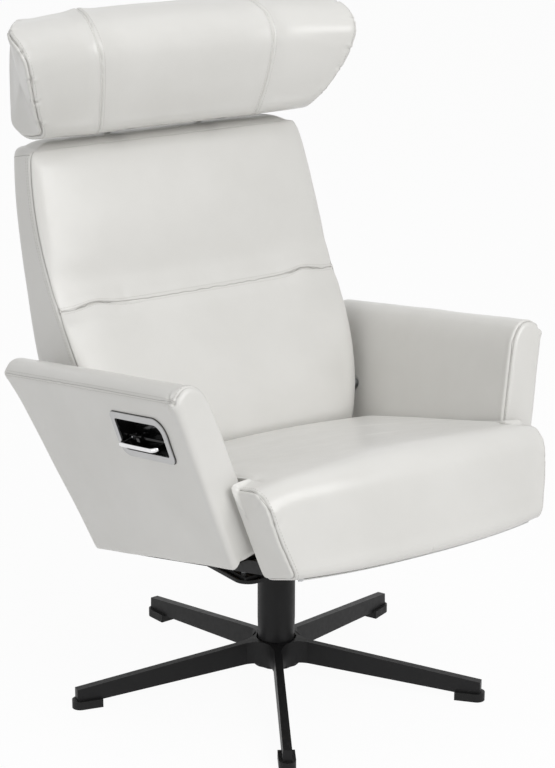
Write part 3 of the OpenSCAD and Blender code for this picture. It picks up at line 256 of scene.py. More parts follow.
def stitches(name, body, tree, path):
    """Row of thread stitches that lie on a surface along a path, and ride on a body."""
    pts, nor = on_surface(tree, resample(path, PITCH), THREAD_LIFT)
    verts, faces = [], []
    for i in range(len(pts) - 1):
        a, b = pts[i], pts[i + 1]
        d = b - a
        size = np.linalg.norm(d)
        if size < 1e-5 or size > PITCH * 2.5:
            continue
        d /= size
        n = nor[i]
        s = np.cross(d, n)
        s /= max(np.linalg.norm(s), 1e-9)
        mid = (a + b) / 2
        at = len(verts)
        for share, thick in ((-0.5, 0.25), (-0.36, 0.85), (0.0, 1.0), (0.36, 0.85), (0.5, 0.25)):
            c = mid + d * share * STITCH - n * (THREAD_R * 0.9 if abs(share) > 0.4 else 0)
            for k in range(6):
                ang = k * math.pi / 3
                verts.append(c + thick * THREAD_R * (math.cos(ang) * s + 0.8 * math.sin(ang) * n))
        for ring in range(4):
            for k in range(6):
                j = (k + 1) % 6
                low = at + ring * 6
                faces.append((low + k, low + j, low + 6 + j, low + 6 + k))
        faces.append(tuple(at + k for k in range(6)))
        faces.append(tuple(at + 24 + k for k in range(6)))
    soft_piece(add_object(name, verts, faces), body, THREAD)


def smoothed(pts):
    """A line of points with its small wobbles averaged out."""
    for _ in range(4):
        pts = np.vstack([pts[:1], 0.25 * pts[:-2] + 0.5 * pts[1:-1] + 0.25 * pts[2:], pts[-1:]])
    return pts


def seam_shade_line(name, body, tree, path, r):
    """Dark tube of painted shade at the bottom of a seam: it stands in for the seam's shadow."""
    pts, _ = on_surface(tree, resample(path, 0.0025))
    soft_piece(tube(name, smoothed(pts), r, 6), body, SEAM_SHADE)


# Materials
def node(tree, kind, inputs, **settings):
    """New shader node. An input that is given as a socket is linked, and any other is set."""
    n = tree.nodes.new("ShaderNode" + kind)
    for name, value in settings.items():
        setattr(n, name, value)
    for name, value in inputs.items():
        if isinstance(value, bpy.types.NodeSocket):
            tree.links.new(value, n.inputs[name])
        else:
            n.inputs[name].default_value = value
    return n


def new_material(name):
    mat = bpy.data.materials.new(name)
    mat.use_nodes = True
    mat.node_tree.nodes.clear()
    return mat, mat.node_tree, node(mat.node_tree, "TexCoord", {}).outputs["Object"]


def surface(tree, inputs):
    node(tree, "OutputMaterial", {0: node(tree, "BsdfPrincipled", inputs).outputs[0]})


def noise(tree, coord, scale, detail=3.0, rough=0.5, stretch=None):
    if stretch:
        coord = node(tree, "Mapping", {"Scale": stretch, "Vector": coord}).outputs[0]
    inputs = {"Vector": coord, "Scale": scale, "Detail": detail, "Roughness": rough}
    return node(tree, "TexNoise", inputs).outputs["Fac"]


def ramp(tree, fac, low, high, ends=(0.3, 0.7)):
    """Colour that goes from low to high while fac goes from one of the ends to the other."""
    r = node(tree, "ValToRGB", {0: fac})
    for stop, place, colour in zip(r.color_ramp.elements, ends, (low, high)):
        stop.position = place
        stop.color = (*colour, 1)
    return r.outputs[0]


def remap(tree, fac, to, ends=(0.3, 0.7)):
    """Number that goes through the range to while fac goes from one of the ends to the other."""
    inputs = {"Value": fac, "From Min": ends[0], "From Max": ends[1], "To Min": to[0], "To Max": to[1]}
    return node(tree, "MapRange", inputs).outputs[0]


def bump(tree, height, strength, distance, under=None):
    inputs = {"Height": height, "Strength": strength, "Distance": distance}
    if under is not None:
        inputs["Normal"] = under
    return node(tree, "Bump", inputs).outputs[0]


def leather_material(name, dark, light, rough=(0.28, 0.38), grain=0.10):
    mat, t, co = new_material(name)
    # cells of the grain, bent by fine noise
    fine = node(t, "TexNoise", {"Vector": co, "Scale": 260.0}).outputs["Color"]
    shift = node(t, "VectorMath", {0: fine, "Scale": 0.0016}, operation="SCALE").outputs[0]
    bent = node(t, "VectorMath", {0: co, 1: shift}, operation="ADD").outputs[0]
    cells = node(t, "TexVoronoi", {"Vector": bent, "Scale": 640.0, "Randomness": 1.0},
                 feature="DISTANCE_TO_EDGE")
    relief = bump(t, remap(t, cells.outputs["Distance"], (0.0, 1.0), (0.0, 0.14)), grain, 0.00025)
    relief = bump(t, noise(t, co, 95.0, 5.0, 0.6), 0.10, 0.0007, relief)
    relief = bump(t, noise(t, co, 13.0), 0.16, 0.004, relief)
    surface(t, {"Base Color": ramp(t, noise(t, co, 7.0, 4.0, 0.55), dark, light),
                "Roughness": remap(t, noise(t, co, 34.0), rough), "Normal": relief,
                "Specular IOR Level": 0.42, "Sheen Weight": 0.06, "Sheen Roughness": 0.5,
                "Coat Weight": 0.18, "Coat Roughness": 0.24})
    return mat


def metal_material(name, base, rough, brushed=None, fine=0.0):
    mat, t, co = new_material(name)
    grain = noise(t, co, 300.0, 4.0, 0.6, brushed) if brushed else noise(t, co, 45.0)
    inputs = {"Base Color": ramp(t, noise(t, co, 60.0), tuple(c * 0.93 for c in base), base),
              "Metallic": 1.0, "Roughness": remap(t, grain, rough)}
    if fine:
        inputs["Normal"] = bump(t, grain, fine, 0.0002)
    surface(t, inputs)
    return mat


def paint_material(name, base, rough, orange):
    mat, t, co = new_material(name)
    surface(t, {"Base Color": ramp(t, noise(t, co, 25.0, 4.0), tuple(c * 0.8 for c in base), base),
                "Roughness": remap(t, noise(t, co, 120.0), rough), "Specular IOR Level": 0.22,
                "Normal": bump(t, noise(t, co, 900.0, 2.0), orange, 0.0002)})
    return mat


def wood_material(name):
    mat, t, co = new_material(name)
    ply = node(t, "TexWave", {"Vector": co, "Scale": 40.0, "Distortion": 2.5, "Detail": 3.0}).outputs["Fac"]
    surface(t, {"Base Color": ramp(t, ply, (0.42, 0.28, 0.15), (0.66, 0.48, 0.29), (0.0, 1.0)),
                "Roughness": 0.65, "Normal": bump(t, ply, 0.1, 0.0004)})
    return mat


LEATHER = leather_material("off_white_leather", (0.665, 0.657, 0.630), (0.705, 0.697, 0.672))
LINING = leather_material("white_lining", (0.76, 0.76, 0.75), (0.80, 0.80, 0.79), (0.5, 0.6), 0.05)
THREAD = leather_material("thread", (0.47, 0.46, 0.43), (0.56, 0.55, 0.52), (0.6, 0.7), 0.3)
# painted shade: this darker colour goes on the tubes at the bottom of seams, in place of the shadow in the
# seam
SEAM_SHADE = leather_material("painted_seam_shade", (0.40, 0.39, 0.37), (0.47, 0.46, 0.44), (0.7, 0.8), 0.3)
BLACK = paint_material("black_powder_coat", (0.011, 0.011, 0.0115), (0.42, 0.52), 0.12)
STEEL = metal_material("zinc_steel", (0.56, 0.57, 0.58), (0.28, 0.42), (1, 1, 8), 0.05)
CHROME = metal_material("polished_chrome", (0.80, 0.80, 0.81), (0.05, 0.12))
SATIN = metal_material("satin_chrome", (0.50, 0.50, 0.50), (0.30, 0.40), (30, 2, 30), 0.08)
PLASTIC = paint_material("black_plastic", (0.012, 0.012, 0.012), (0.45, 0.6), 0.2)
GLOSS = paint_material("gloss_black", (0.006, 0.006, 0.006), (0.10, 0.18), 0.03)
RUBBER = paint_material("dark_gasket", (0.015, 0.015, 0.015), (0.5, 0.6), 0.2)
BUSH = paint_material("white_bush", (0.72, 0.72, 0.70), (0.4, 0.5), 0.1)
WOOD = wood_material("plywood")

by_slot = {"black_steel": BLACK, "bare_steel": STEEL, "chrome": CHROME, "black_plastic": PLASTIC,
           "black_gloss": GLOSS, "white_plastic": BUSH, "plywood": WOOD, "leather": LEATHER}
slot_of = {s["node"]: s["material_slot"] for s in frame["record"]["subparts"]}


def dress(obj, mat):
    obj.data.materials.clear()
    obj.data.materials.append(mat)


for name, obj in nodes.items():
    dress(obj, by_slot[slot_of[name]])
dress(nodes["bezel_ring"], SATIN)
for name in ("lever_shaft", "lever_cam"):
    dress(nodes[name], GLOSS)


def soft_piece(obj, body, mat, replaced=None):
    """Leather, thread or a tube of painted seam shade that rides on a body; where it stands for a CAD node,
    that node is hidden.
    """
    dress(obj, mat)
    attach(obj, body)
    if replaced:
        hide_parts(replaced)


def ease(x):
    x = np.clip(x, 0, 1)
    return x * x * (3 - 2 * x)


def bell(d, width):
    return np.exp(-(d / width) ** 2)


# Tools for leather forms
def drawn_in(d, r):
    """How far a rounded end of radius r has drawn in at distance d from the end."""
    d = np.clip(d, 0, r)
    return r - np.sqrt(np.maximum(r * r - (r - d) ** 2, 0))


def fillet(points, radii, n):
    """n points spread evenly on a closed polygon with rounded corners."""
    p = np.asarray(points, float)
    out = []
    for i in range(len(p)):
        a, b, c = p[i - 1], p[i], p[(i + 1) % len(p)]
        r = radii[i]
        if r <= 0:
            out.append(b)
            continue
        u, v = (a - b) / np.linalg.norm(a - b), (c - b) / np.linalg.norm(c - b)
        half = math.acos(max(-1, min(1, float(np.dot(u, v))))) / 2
        run = r / math.tan(half)
        mid = b + (u + v) / np.linalg.norm(u + v) * (r / math.sin(half))
        s, e = b + u * run - mid, b + v * run - mid
        sweep = math.pi - 2 * half
        for f in np.linspace(0, 1, 13):
            k = (math.sin((1 - f) * sweep) * s + math.sin(f * sweep) * e) / math.sin(sweep)
            out.append(mid + k)
    return spread_evenly(np.array(out), n)


def point_tree(points):
    tree = KDTree(len(points))
    for i, q in enumerate(points):
        tree.insert(q, i)
    tree.balance()
    return tree


def distance_to(points, path):
    """Distance from each point to the nearest point of a path."""
    tree = point_tree(path)
    return np.array([tree.find(q)[2] for q in points])


def mesh_points(obj, what="co"):
    """Places of an object's vertices, or with "normal" their normals."""
    v = np.empty(len(obj.data.vertices) * 3)
    obj.data.vertices.foreach_get(what, v)
    return v.reshape(-1, 3)


def mesh_normals(obj):
    return mesh_points(obj, "normal")


def move_to(obj, points):
    obj.data.vertices.foreach_set("co", np.ascontiguousarray(points).reshape(-1))
    obj.data.update()


def seam(obj, paths, depth, width, puff, reach):
    """Draws the leather in along seams and lets it stand slightly proud beside them."""
    co, nor = mesh_points(obj), mesh_normals(obj)
    for path in paths:
        d = distance_to(co, resample(path, 0.001))
        k = -depth * bell(d, width) + puff * bell(d - reach * 0.6, reach * 0.45)
        co = co + nor * k[:, None]
    move_to(obj, co)


def pucker(obj, centre, size, depth, count, turn=0.0):
    """Small folds that radiate from the end of a seam."""
    co, nor = mesh_points(obj), mesh_normals(obj)
    c = np.array(centre, float)
    d = co - c
    r = np.linalg.norm(d, axis=1)
    pick = r < size * 2.2
    if not pick.any():
        return
    n = nor[np.argmin(r)]
    u = np.cross(n, [0, 0, 1.0])
    u /= max(np.linalg.norm(u), 1e-9)
    v = np.cross(n, u)
    ang = np.arctan2(d @ v, d @ u) + turn
    wave = np.cos(ang * count) * bell(r - size * 0.55, size * 0.5) * depth
    hole = -depth * 1.3 * bell(r, size * 0.28)
    co[pick] += (nor * (wave + hole)[:, None])[pick]
    move_to(obj, co)


def relax_field(mesh, field, rounds):
    """Evens out a field of moves over a mesh's edges."""
    e = np.empty(len(mesh.edges) * 2, int)
    mesh.edges.foreach_get("vertices", e)
    e = e.reshape(-1, 2)
    n = len(mesh.vertices)
    count = np.bincount(e.reshape(-1), minlength=n).astype(float)[:, None]
    for _ in range(rounds):
        total = np.zeros_like(field)
        np.add.at(total, e[:, 0], field[e[:, 1]])
        np.add.at(total, e[:, 1], field[e[:, 0]])
        field = field * 0.4 + 0.6 * total / np.maximum(count, 1)
    return field


SWELL_FRAMES = 20
SWELL_START = 0.0035  # how far inside its own shape the cloth starts


def swell(obj, hold, pressure, voxel, cap, gain):
    """Blows a cushion up as cloth and moves its own mesh along, by at most cap.

    hold(points) gives 0 for leather that is free, up to 1 where a seam, a board or a neighbour holds it."""
    rest = mesh_points(obj)
    pad = bpy.data.objects.new(obj.name + "_pad", obj.data.copy())
    bpy.context.scene.collection.objects.link(pad)
    mod = pad.modifiers.new("remesh", "REMESH")
    mod.mode = "VOXEL"
    mod.voxel_size = voxel
    apply_all(pad)
    start = mesh_points(pad)
    grip = np.clip(hold(start), 0, 1)
    move_to(pad, start - mesh_normals(pad) * (SWELL_START * (1 - grip))[:, None])
    group = pad.vertex_groups.new(name="held")
    for i in np.nonzero(grip > 0.02)[0]:
        group.add([int(i)], float(grip[i]), "REPLACE")
    cloth = pad.modifiers.new("cloth", "CLOTH")
    for key, value in {"quality": 4, "mass": 0.35, "tension_stiffness": 12, "compression_stiffness": 12,
                       "shear_stiffness": 6, "bending_stiffness": 0.8, "air_damping": 2.0,
                       "use_pressure": True, "uniform_pressure_force": pressure,
                       "vertex_group_mass": "held", "pin_stiffness": 1.0}.items():
        setattr(cloth.settings, key, value)
    cloth.settings.effector_weights.gravity = 0
    cloth.collision_settings.use_collision = False
    cloth.collision_settings.use_self_collision = False
    cloth.point_cache.frame_start = 1
    cloth.point_cache.frame_end = SWELL_FRAMES
    scene = bpy.context.scene
    for f in range(1, SWELL_FRAMES + 1):
        scene.frame_set(f)
    apply_all(pad)
    move = mesh_points(pad) - start
    size = np.linalg.norm(move, axis=1, keepdims=True)
    move = relax_field(pad.data, move * np.minimum(1, cap / np.maximum(size, 1e-9)) * gain, 1)
    # the cushion's own points take the move of the cloth nearest to them
    tree = point_tree(start)
    out = np.zeros_like(rest)
    for i, q in enumerate(rest):
        near = tree.find_n(q, 6)
        w = np.array([1 / (d * d + 4e-6) for _, _, d in near])
        out[i] = (move[[k for _, k, _ in near]] * w[:, None]).sum(0) / w.sum()
    out = relax_field(obj.data, out, 2)
    move_to(obj, rest + out * (1 - np.clip(hold(rest), 0, 1))[:, None])
    bpy.data.objects.remove(pad)
    scene.frame_set(1)


def row_to_unit(p):
    """The seat unit's frame for points in the row frame."""
    p = np.asarray(p, float)
    y, z = p[..., 1], p[..., 2] - UNIT_Z
    return np.stack([p[..., 0], y * CT - z * ST, y * ST + z * CT], -1)


def undulate(obj, size, scale, seed, weight=None):
    """Slow unevenness of padding under leather."""
    co, nor = mesh_points(obj), mesh_normals(obj)
    shift = Vector((seed, seed * 0.7, -seed))
    k = np.array([value_noise.noise(Vector(q) * scale + shift) for q in co])
    if weight is not None:
        k = k * weight(co)
    move_to(obj, co + nor * (k * size)[:, None])


# Arms
ARM_REAR = [0, 0.12, 0.27, 0.42, 0.55, 0.72, 1]
# shares of an arm's thickness and height: round its section, and along the front panel's seam
ARM_TOP = [[.1, 1], [.25, 1.025], [.42, 1.035], [.6, 1.03], [.76, 1.01], [.9, .965], [.98, .9]]
ARM_INSIDE = [[1, .8], [1, .6], [1, .4], [1, .2]]
ARM_SECTION = [[.05, -.021], [0, -.010], [0, .03], [0, .2], [0, .4], [0, .6], [0, .8], [0, .94], [.02, .985],
               *ARM_TOP, *ARM_INSIDE, [1, .02], [.95, 0], [.7, 0], [.45, 0], [.17, 0], [.11, -.018]]
ARM_LONG = 0.460
ARM_FRONT_H, ARM_REAR_H = 0.266, 0.306
ARM_ROUND = 0.011       # radius of an arm's ends
ARM_SEAM_AT = 0.0135    # share of its length at which the front panel's seam runs


def arm_front_y(h):
    return -0.300 - 0.009 * h / ARM_FRONT_H


def arm_rear_y(h):
    return 0.118 + 0.084 * along(ARM_REAR, h / ARM_REAR_H)


def arm_point(s0, s1, t, pull=0.0):
    """Point of an arm at shares of its thickness, height and length."""
    h = ARM_FRONT_H + (ARM_REAR_H - ARM_FRONT_H) * t
    z = h * np.minimum(s1, 1) + np.maximum(s1 - 1, 0) / 0.035 * 0.010
    zz = h / 2 + (z - h / 2) * (1 - 2 * pull / h)
    aa = 0.030 + (s0 * ARM_THICK - 0.030) * (1 - 2 * pull / ARM_THICK)
    y = arm_front_y(z) * (1 - t) + arm_rear_y(z) * t
    return np.stack([-aa, y, zz], -1)


def arm_mesh(name, side):
    outline = closed_curve(ARM_SECTION, 150)
    ends = [0, .0006, .0016, .003, .0048, .007, .0098, .013, .0165, .0205, .025, .030, .037]
    rings = []
    for t in sorted(ends + [1 - e for e in ends] + list(np.linspace(0.045, 0.955, 62))):
        pull = drawn_in(min(t, 1 - t) * ARM_LONG, ARM_ROUND)
        rings.append(arm_to_row(arm_point(outline[:, 0], outline[:, 1], t, pull), side))
    arm = loft(name, rings)
    subdivide(arm)
    return arm


def prism(name, outline, low, high, place):
    """Closed prism over an outline, from one height to another, put in place by a function."""
    o = np.asarray(outline, float)
    rings = [place(np.column_stack([o, np.full(len(o), z)])) for z in np.linspace(low, high, 3)]
    return loft(name, rings)


def soft_rect(length, height, corners, n=10):
    """Rectangle about the origin with a radius for each corner, from low left anticlockwise."""
    out = []
    for k, (sx, sy) in enumerate([(-1, -1), (1, -1), (1, 1), (-1, 1)]):
        r = corners[k]
        c = np.array([sx * (length / 2 - r), sy * (height / 2 - r)])
        a0 = math.pi + k * math.pi / 2
        out += [c + r * np.array([math.cos(a), math.sin(a)]) for a in np.linspace(a0, a0 + math.pi / 2, n)]
    return np.array(out)


def row_box(name, low, high, place):
    """Box between two corners of a frame, as a cutter."""
    (x0, y0, z0), (x1, y1, z1) = low, high
    rings = [place(np.array([(x0, y0, z), (x1, y0, z), (x1, y1, z), (x0, y1, z)])) for z in (z0, z1)]
    return loft(name, rings)


def rod_cutter(name, x0, x1, y, w, r, side):
    a = np.linspace(0, 2 * math.pi, 40, endpoint=False)
    ends = [np.column_stack([np.full(40, side * x), y + r * np.cos(a), w + r * np.sin(a)]) for x in (x0, x1)]
    return loft(name, [unit_to_row(e) for e in ends])


def dense(points):
    return resample(points, 0.002)


for side, label in ((1, "left"), (-1, "right")):
    arm = arm_mesh(label + "_arm_leather", side)
    # stitched seam along the outer top edge, and round the front panel's top and inner edge
    top = [arm_point(0.045, 0.992, t) for t in np.linspace(0.012, 0.975, 90)]
    round_front = along([[.045, .992], *ARM_TOP, *ARM_INSIDE, [1, .04]], np.linspace(0, 1, 80))
    pull = drawn_in(ARM_SEAM_AT * ARM_LONG, ARM_ROUND)
    front = [arm_point(q[0], q[1], ARM_SEAM_AT, pull) for q in round_front]
    top, front = arm_to_row(np.array(top), side), arm_to_row(np.array(front), side)
    seam(arm, [top], depth=0.0017, width=0.0022, puff=0.0007, reach=0.012)
    seam(arm, [front], depth=0.0019, width=0.0022, puff=0.0006, reach=0.011)
    undulate(arm, 0.0011, 11.0, 3.0 + side)
    pucker(arm, top[2], 0.015, 0.0016, 5)
    # room for the pivot, the arm brackets and board, and in the right arm for the lever's cup and cable
    cut(arm, rod_cutter("hole", 0.189, 0.2963, *PIVOT, 0.0143, side))
    rooms = [((-0.059, y - 0.0205, -0.03), (-0.045, y + 0.0205, 0.0705)) for y in (-0.215, 0.030)]
    for low, high in rooms + [((-0.046, -0.2845, -0.03), (-0.032, 0.1025, 0.006))]:
        cut(arm, row_box("room", low, high, lambda p, k=side: arm_to_row(p, k)))
    if side < 0:
        opening = soft_rect(RECESS_LONG + 0.0046, RECESS_HIGH + 0.0046, [0.0063, 0.0158, 0.0063, 0.0198])
        cut(arm, prism("recess", opening, -0.0275, 0.02, recess_to_row))
        cable_room = ((-0.0285, -0.156, -0.03), (-0.019, -0.1435, 0.19))
        cut(arm, row_box("room", *cable_room, lambda p: arm_to_row(p, -1)))
    soft_piece(arm, "seat_unit", LEATHER, label + "_arm_pad")
    tree = tree_of(arm)
    for k, (path, offsets) in enumerate(((top, (0.0042, -0.0042)), (front, (0.0042,)))):
        d = np.gradient(path, axis=0)
        d /= np.linalg.norm(d, axis=1)[:, None]
        across = np.cross(on_surface(tree, path)[1], d)
        for j, off in enumerate(offsets):
            stitches("%s_arm_stitch_%d%d" % (label, k, j), "seat_unit", tree, path + across * off)
        # painted shade: a dark tube along the bottom of the seam stands in for its shadow
        seam_shade_line("%s_arm_seam_shade_%d" % (label, k), "seat_unit", tree, path, 0.00042)

# Seat
SEAT_REAR, SEAT_TOP, SEAT_UNDER = 0.036, 0.124, 0.0425
NOSE_FRONT, NOSE_REAR, NOSE_FOOT = -0.398, -0.3165, -0.026
CROWN = 0.014       # how far the seat rises in the middle
NOSE_ROUND = 0.010  # radius of the nose's ends


def seat_half(w, nose):
    """Half width of the seat at height w, before the arms or between them."""
    return (0.247 if nose else ARM_X - ARM_THICK / math.cos(LEAN) - 0.008) + w * math.tan(LEAN) * 0.95


def pulled_in(y, w, pull):
    """Points of the seat's profile, drawn in towards its core."""
    cy, cw = np.clip(y, -0.358, 0.0), np.clip(w, 0.014, 0.084)
    size = np.hypot(y - cy, w - cw)
    k = np.maximum(size - pull, 0) / np.maximum(size, 1e-9)
    return cy + (y - cy) * k, cw + (w - cw) * k


def seat_crown(x, w):
    """How far a point at place x and height w rises with the seat's crown."""
    return np.clip((w - 0.05) / 0.07, 0, 1), CROWN * (1 - np.minimum(np.abs(x) / 0.28, 1) ** 2)


def nose_shape(p):
    """Bows the nose forward in the middle, and draws its ends back, up and in."""
    x, y, w = p[:, 0], p[:, 1], p[:, 2]
    ahead = np.clip((NOSE_REAR - y) / 0.0815, 0, 1)
    end = np.minimum(np.abs(x) / 0.262, 1.05)
    low = np.clip((0.100 - w) / 0.126, 0, 1)
    y2 = y + ahead * (0.012 * end ** 3 - 0.017 * (1 - np.minimum(end, 1) ** 2))
    w2 = w + low * ahead * (0.012 * end ** 2.5 - 0.003)
    corner = np.clip((end - 0.78) / 0.24, 0, 1) ** 2 * np.clip((w - 0.03) / 0.08, 0, 1)
    corner = corner * np.where(y < NOSE_REAR, 1, 0)
    x2 = x * (1 - 0.020 * low * ahead) - np.sign(x) * corner * 0.010
    return np.column_stack([x2, y2, w2 - corner * 0.008])


def seat_mesh(name):
    corners = [(SEAT_REAR, SEAT_UNDER), (SEAT_REAR, SEAT_TOP), (NOSE_FRONT, SEAT_TOP),
               (NOSE_FRONT, NOSE_FOOT), (NOSE_REAR, NOSE_FOOT), (NOSE_REAR, SEAT_UNDER)]
    profile = fillet(corners, [0.006, 0.020, 0.040, 0.013, 0.004, 0.0], 150)
    rings = []

    def ring(x_of, nose_only=False, pull=0.0, side_drop=0.0):
        y, w = profile[:, 0], profile[:, 1]
        if pull > 0:
            y, w = pulled_in(y, w, pull)
        if nose_only:
            behind = y > NOSE_REAR
            w = np.where(behind & (w > 0.05), np.minimum(w, SEAT_TOP - pull), w)
            y = np.where(behind, NOSE_REAR, y)
        x = x_of(w)
        lift, crown = seat_crown(x, w)
        w2 = w + lift * (crown - side_drop * ease((y + 0.350) / 0.040))
        return unit_to_row(nose_shape(np.column_stack([x, y, w2])))

    inner = [0, .0008, .002, .004, .007, .011, .016, .022] + list(np.linspace(0.030, 0.205, 26))
    wing = [0, .0005, .0012, .0022, .0034, .0050, .0070, .0095, .013, .018, .024, .031]
    for sign in (-1, 1):
        part = []
        for e in wing:
            pull = drawn_in(e, NOSE_ROUND)
            part.append(ring(lambda w: sign * np.maximum(seat_half(w, True) - e, seat_half(w, False)),
                             True, pull))
        part.append(ring(lambda w: sign * seat_half(w, False), True))
        for e in inner:
            drop = drawn_in(e, 0.022) * 0.55
            part.append(ring(lambda w: sign * (seat_half(w, False) - e), side_drop=drop))
        rings += part + [ring(lambda w: 0 * w)] if sign < 0 else part[::-1]
    return loft(name, rings)


seat = seat_mesh("seat_leather")
bm = bmesh.new()
bm.from_mesh(seat.data)
bmesh.ops.remove_doubles(bm, verts=bm.verts, dist=0.00005)
bmesh.ops.dissolve_degenerate(bm, edges=bm.edges, dist=0.00005)
bm.to_mesh(seat.data)
bm.free()
set_smooth(seat.data)


def seat_seam_path(side, e):
    """Line round the front of the nose at distance e from its end, from the top down."""
    p = fillet([(NOSE_REAR, SEAT_TOP), (NOSE_FRONT, SEAT_TOP), (NOSE_FRONT, NOSE_FOOT),
                (NOSE_REAR, NOSE_FOOT)], [0.003, 0.040, 0.013, 0.003], 400)
    p = np.roll(p, -int(np.argmin(np.hypot(p[:, 0] - NOSE_REAR, p[:, 1] - SEAT_TOP))), 0)
    if p[20, 0] > -0.3166 and p[20, 1] < 0.12:
        p = p[::-1]
    p = p[p[:, 0] < -0.3175]
    y, w = pulled_in(p[:, 0], p[:, 1], drawn_in(e, NOSE_ROUND))
    x = seat_half(w, True) - e
    lift, crown = seat_crown(x, w)
    return unit_to_row(nose_shape(np.column_stack([side * x, y, w + lift * crown])))


seat_seams = {k: seat_seam_path(k, 0.0034) for k in (-1, 1)}


def seat_hold(p):
    q = row_to_unit(p)
    x, y, w = q[:, 0], q[:, 1], q[:, 2]
    d = np.minimum(distance_to(p, dense(seat_seams[-1])), distance_to(p, dense(seat_seams[1])))
    sew = 1 - ease((d - 0.003) / 0.022)
    under = 1 - ease((w - 0.048) / 0.016)
    low_front = np.where(y < -0.37, ease((-0.006 - w) / 0.02 + 0.5), under)
    wall = np.where((y > -0.325) & (np.abs(x) > seat_half(w, False) - 0.002), 1.0, 0.0)
    rear = ease((y + 0.01) / 0.05)
    beside = np.where(y > -0.315, ease((np.abs(x) - seat_half(w, False) + 0.022) / 0.012), 0.0)
    return np.maximum.reduce([sew * 0.97, low_front, wall, rear, beside])


swell(seat, seat_hold, pressure=2.6, voxel=0.0075, cap=0.016, gain=0.75)
subdivide(seat)
seam(seat, list(seat_seams.values()), depth=0.0020, width=0.0016, puff=0.0006, reach=0.008)
undulate(seat, 0.0010, 8.0, 5.0)


def crease(obj, points, depth, width):
    """Soft long crease in the leather, deepest in its middle."""
    path = resample(unit_to_row(np.array(points, float)), 0.002)
    co, nor = mesh_points(obj), mesh_normals(obj)
    near = distance_to(co, path)
    mid = path[len(path) // 2]
    fade = bell(np.linalg.norm(co - mid, axis=1), np.linalg.norm(path[-1] - path[0]) * 0.42)
    dip = bell(near, width) - 0.5 * bell(near - 1.9 * width, width)
    move_to(obj, co - nor * (dip * depth * fade)[:, None])


crease(seat, [(.06, -.10, .137), (.14, -.16, .135), (.20, -.20, .131)], 0.0009, 0.006)
crease(seat, [(-.02, -.20, .138), (.07, -.25, .136), (.15, -.27, .134)], 0.0008, 0.006)
crease(seat, [(-.12, -.12, .136), (-.03, -.16, .138), (.05, -.17, .138)], 0.0007, 0.006)
for path in seat_seams.values():
    for share in (0.16, 0.24, 0.33, 0.42):
        pucker(seat, path[int(share * len(path))], 0.014, 0.0006, 3, share * 30)
soft_piece(seat, "seat", LEATHER, "seat_cushion")
tree = tree_of(seat)
for side, label in ((1, "left"), (-1, "right")):
    stitches("seat_stitch_" + label, "seat", tree, seat_seam_path(side, 0.0085))
    # painted shade: a dark tube along the bottom of the seam stands in for its shadow
    seam_shade_line("seat_seam_" + label, "seat", tree, seat_seams[side], 0.00055)

# white lining: it comes down behind the nose and runs forward under it
LINING_IN, LINING_OUT = -0.3157, -0.3134  # the two faces of its upright part
LINING_TOP, LINING_FOOT = -0.0266, -0.0286  # the two faces of its flat part
lining_rings = []
for x in np.linspace(-0.215, 0.215, 60):
    wave = 0.0006 * math.sin(x * 62.0) + 0.0004 * math.sin(x * 117.0 + 1.0)
    o = [(LINING_IN, 0.0297), (LINING_IN + wave * .3, 0.0), (LINING_IN, -0.0258), (-0.319, LINING_TOP + wave),
         (-0.355, LINING_TOP + wave), (-0.381, LINING_TOP), (-0.3825, -0.0276), (-0.381, LINING_FOOT),
         (-0.355, LINING_FOOT + wave), (LINING_IN, LINING_FOOT), (-0.3138, -0.0268),
         (LINING_OUT + wave * .3, 0.0), (LINING_OUT, 0.0297)]
    lining_rings.append(unit_to_row(nose_shape(np.array([(x, y, w) for y, w in o]))))
lining = loft("seat_lining_cloth", lining_rings)
dress(lining, LINING)
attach(lining, "seat")
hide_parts("seat_lining")

# Backrest
# along the backrest's height: how much it tapers, its side seam and its front
TAPER = [1, 0.8, 0.5, 0.275, 0.1, 0.035, 0.02, 0, 0.02, 0.09, 0.22]
SEAM_Y = [.086, .085, .088, .097, .113, .131, .151, .165, .175, .181, .184]
FRONT_Y = [.050, .042, .048, .064, .090, .116, .141, .141, .144, .153, .168]
# section of the front: shares of its half width and depth
BULGE = [[1, 0], [0.993, 0.16], [0.97, 0.34], [0.92, 0.53], [0.83, 0.7], [0.7, 0.83],
         [0.53, 0.92], [0.35, 0.97], [0.17, 0.995], [0, 1]]
BULGE_SPREAD = 1.35
LUMBAR = 0.378                      # height of the lumbar seam
BACK_FOOT, BACK_TOP = 0.062, 0.637  # of the shell
CUSHION_FOOT = 0.108
REAR_Y = 0.2046                     # rear of the cushion's core, inside the shell


def back_t(w):
    """Share of the backrest's height."""
    return (np.asarray(w) - BACK_FOOT) / (BACK_TOP - BACK_FOOT)


def seam_y(w):
    """Depth at which the cushion meets the shell, at a height."""
    return float(along(SEAM_Y, back_t(w)))


def back_half(w):
    corner = np.clip((np.asarray(w, float) - 0.619) / 0.018, 0, 0.999)
    return 0.275 - 0.055 * along(TAPER, back_t(w)) - 0.011 * (1 - np.sqrt(1 - corner ** 2))


def lumbar_at(x):
    """Height of the lumbar seam across the backrest."""
    return LUMBAR + 0.006 * bell(np.abs(x) - 0.205, 0.030)


def back_front_ring(w, n=46):
    """Front of the backrest at a height, from the seam on +x over the middle to -x."""
    b, sy, fy = back_half(w), seam_y(w), float(along(FRONT_Y, back_t(w)))
    top = math.sqrt(max(0, 1 - (max(0, w - 0.597) / 0.040) ** 2))
    foot = math.sqrt(max(0, 1 - (max(0, 0.148 - w) / 0.040) ** 2 * 0.7))
    depth = (sy - fy) * top * foot
    c = along(BULGE, np.linspace(0, 1, n) ** BULGE_SPREAD)
    right = np.column_stack([c[:, 0] * b - 0.0028 * bell(c[:, 1] * depth, 0.0028), sy - c[:, 1] * depth])
    return np.vstack([right, right[-2::-1] * [-1, 1]])


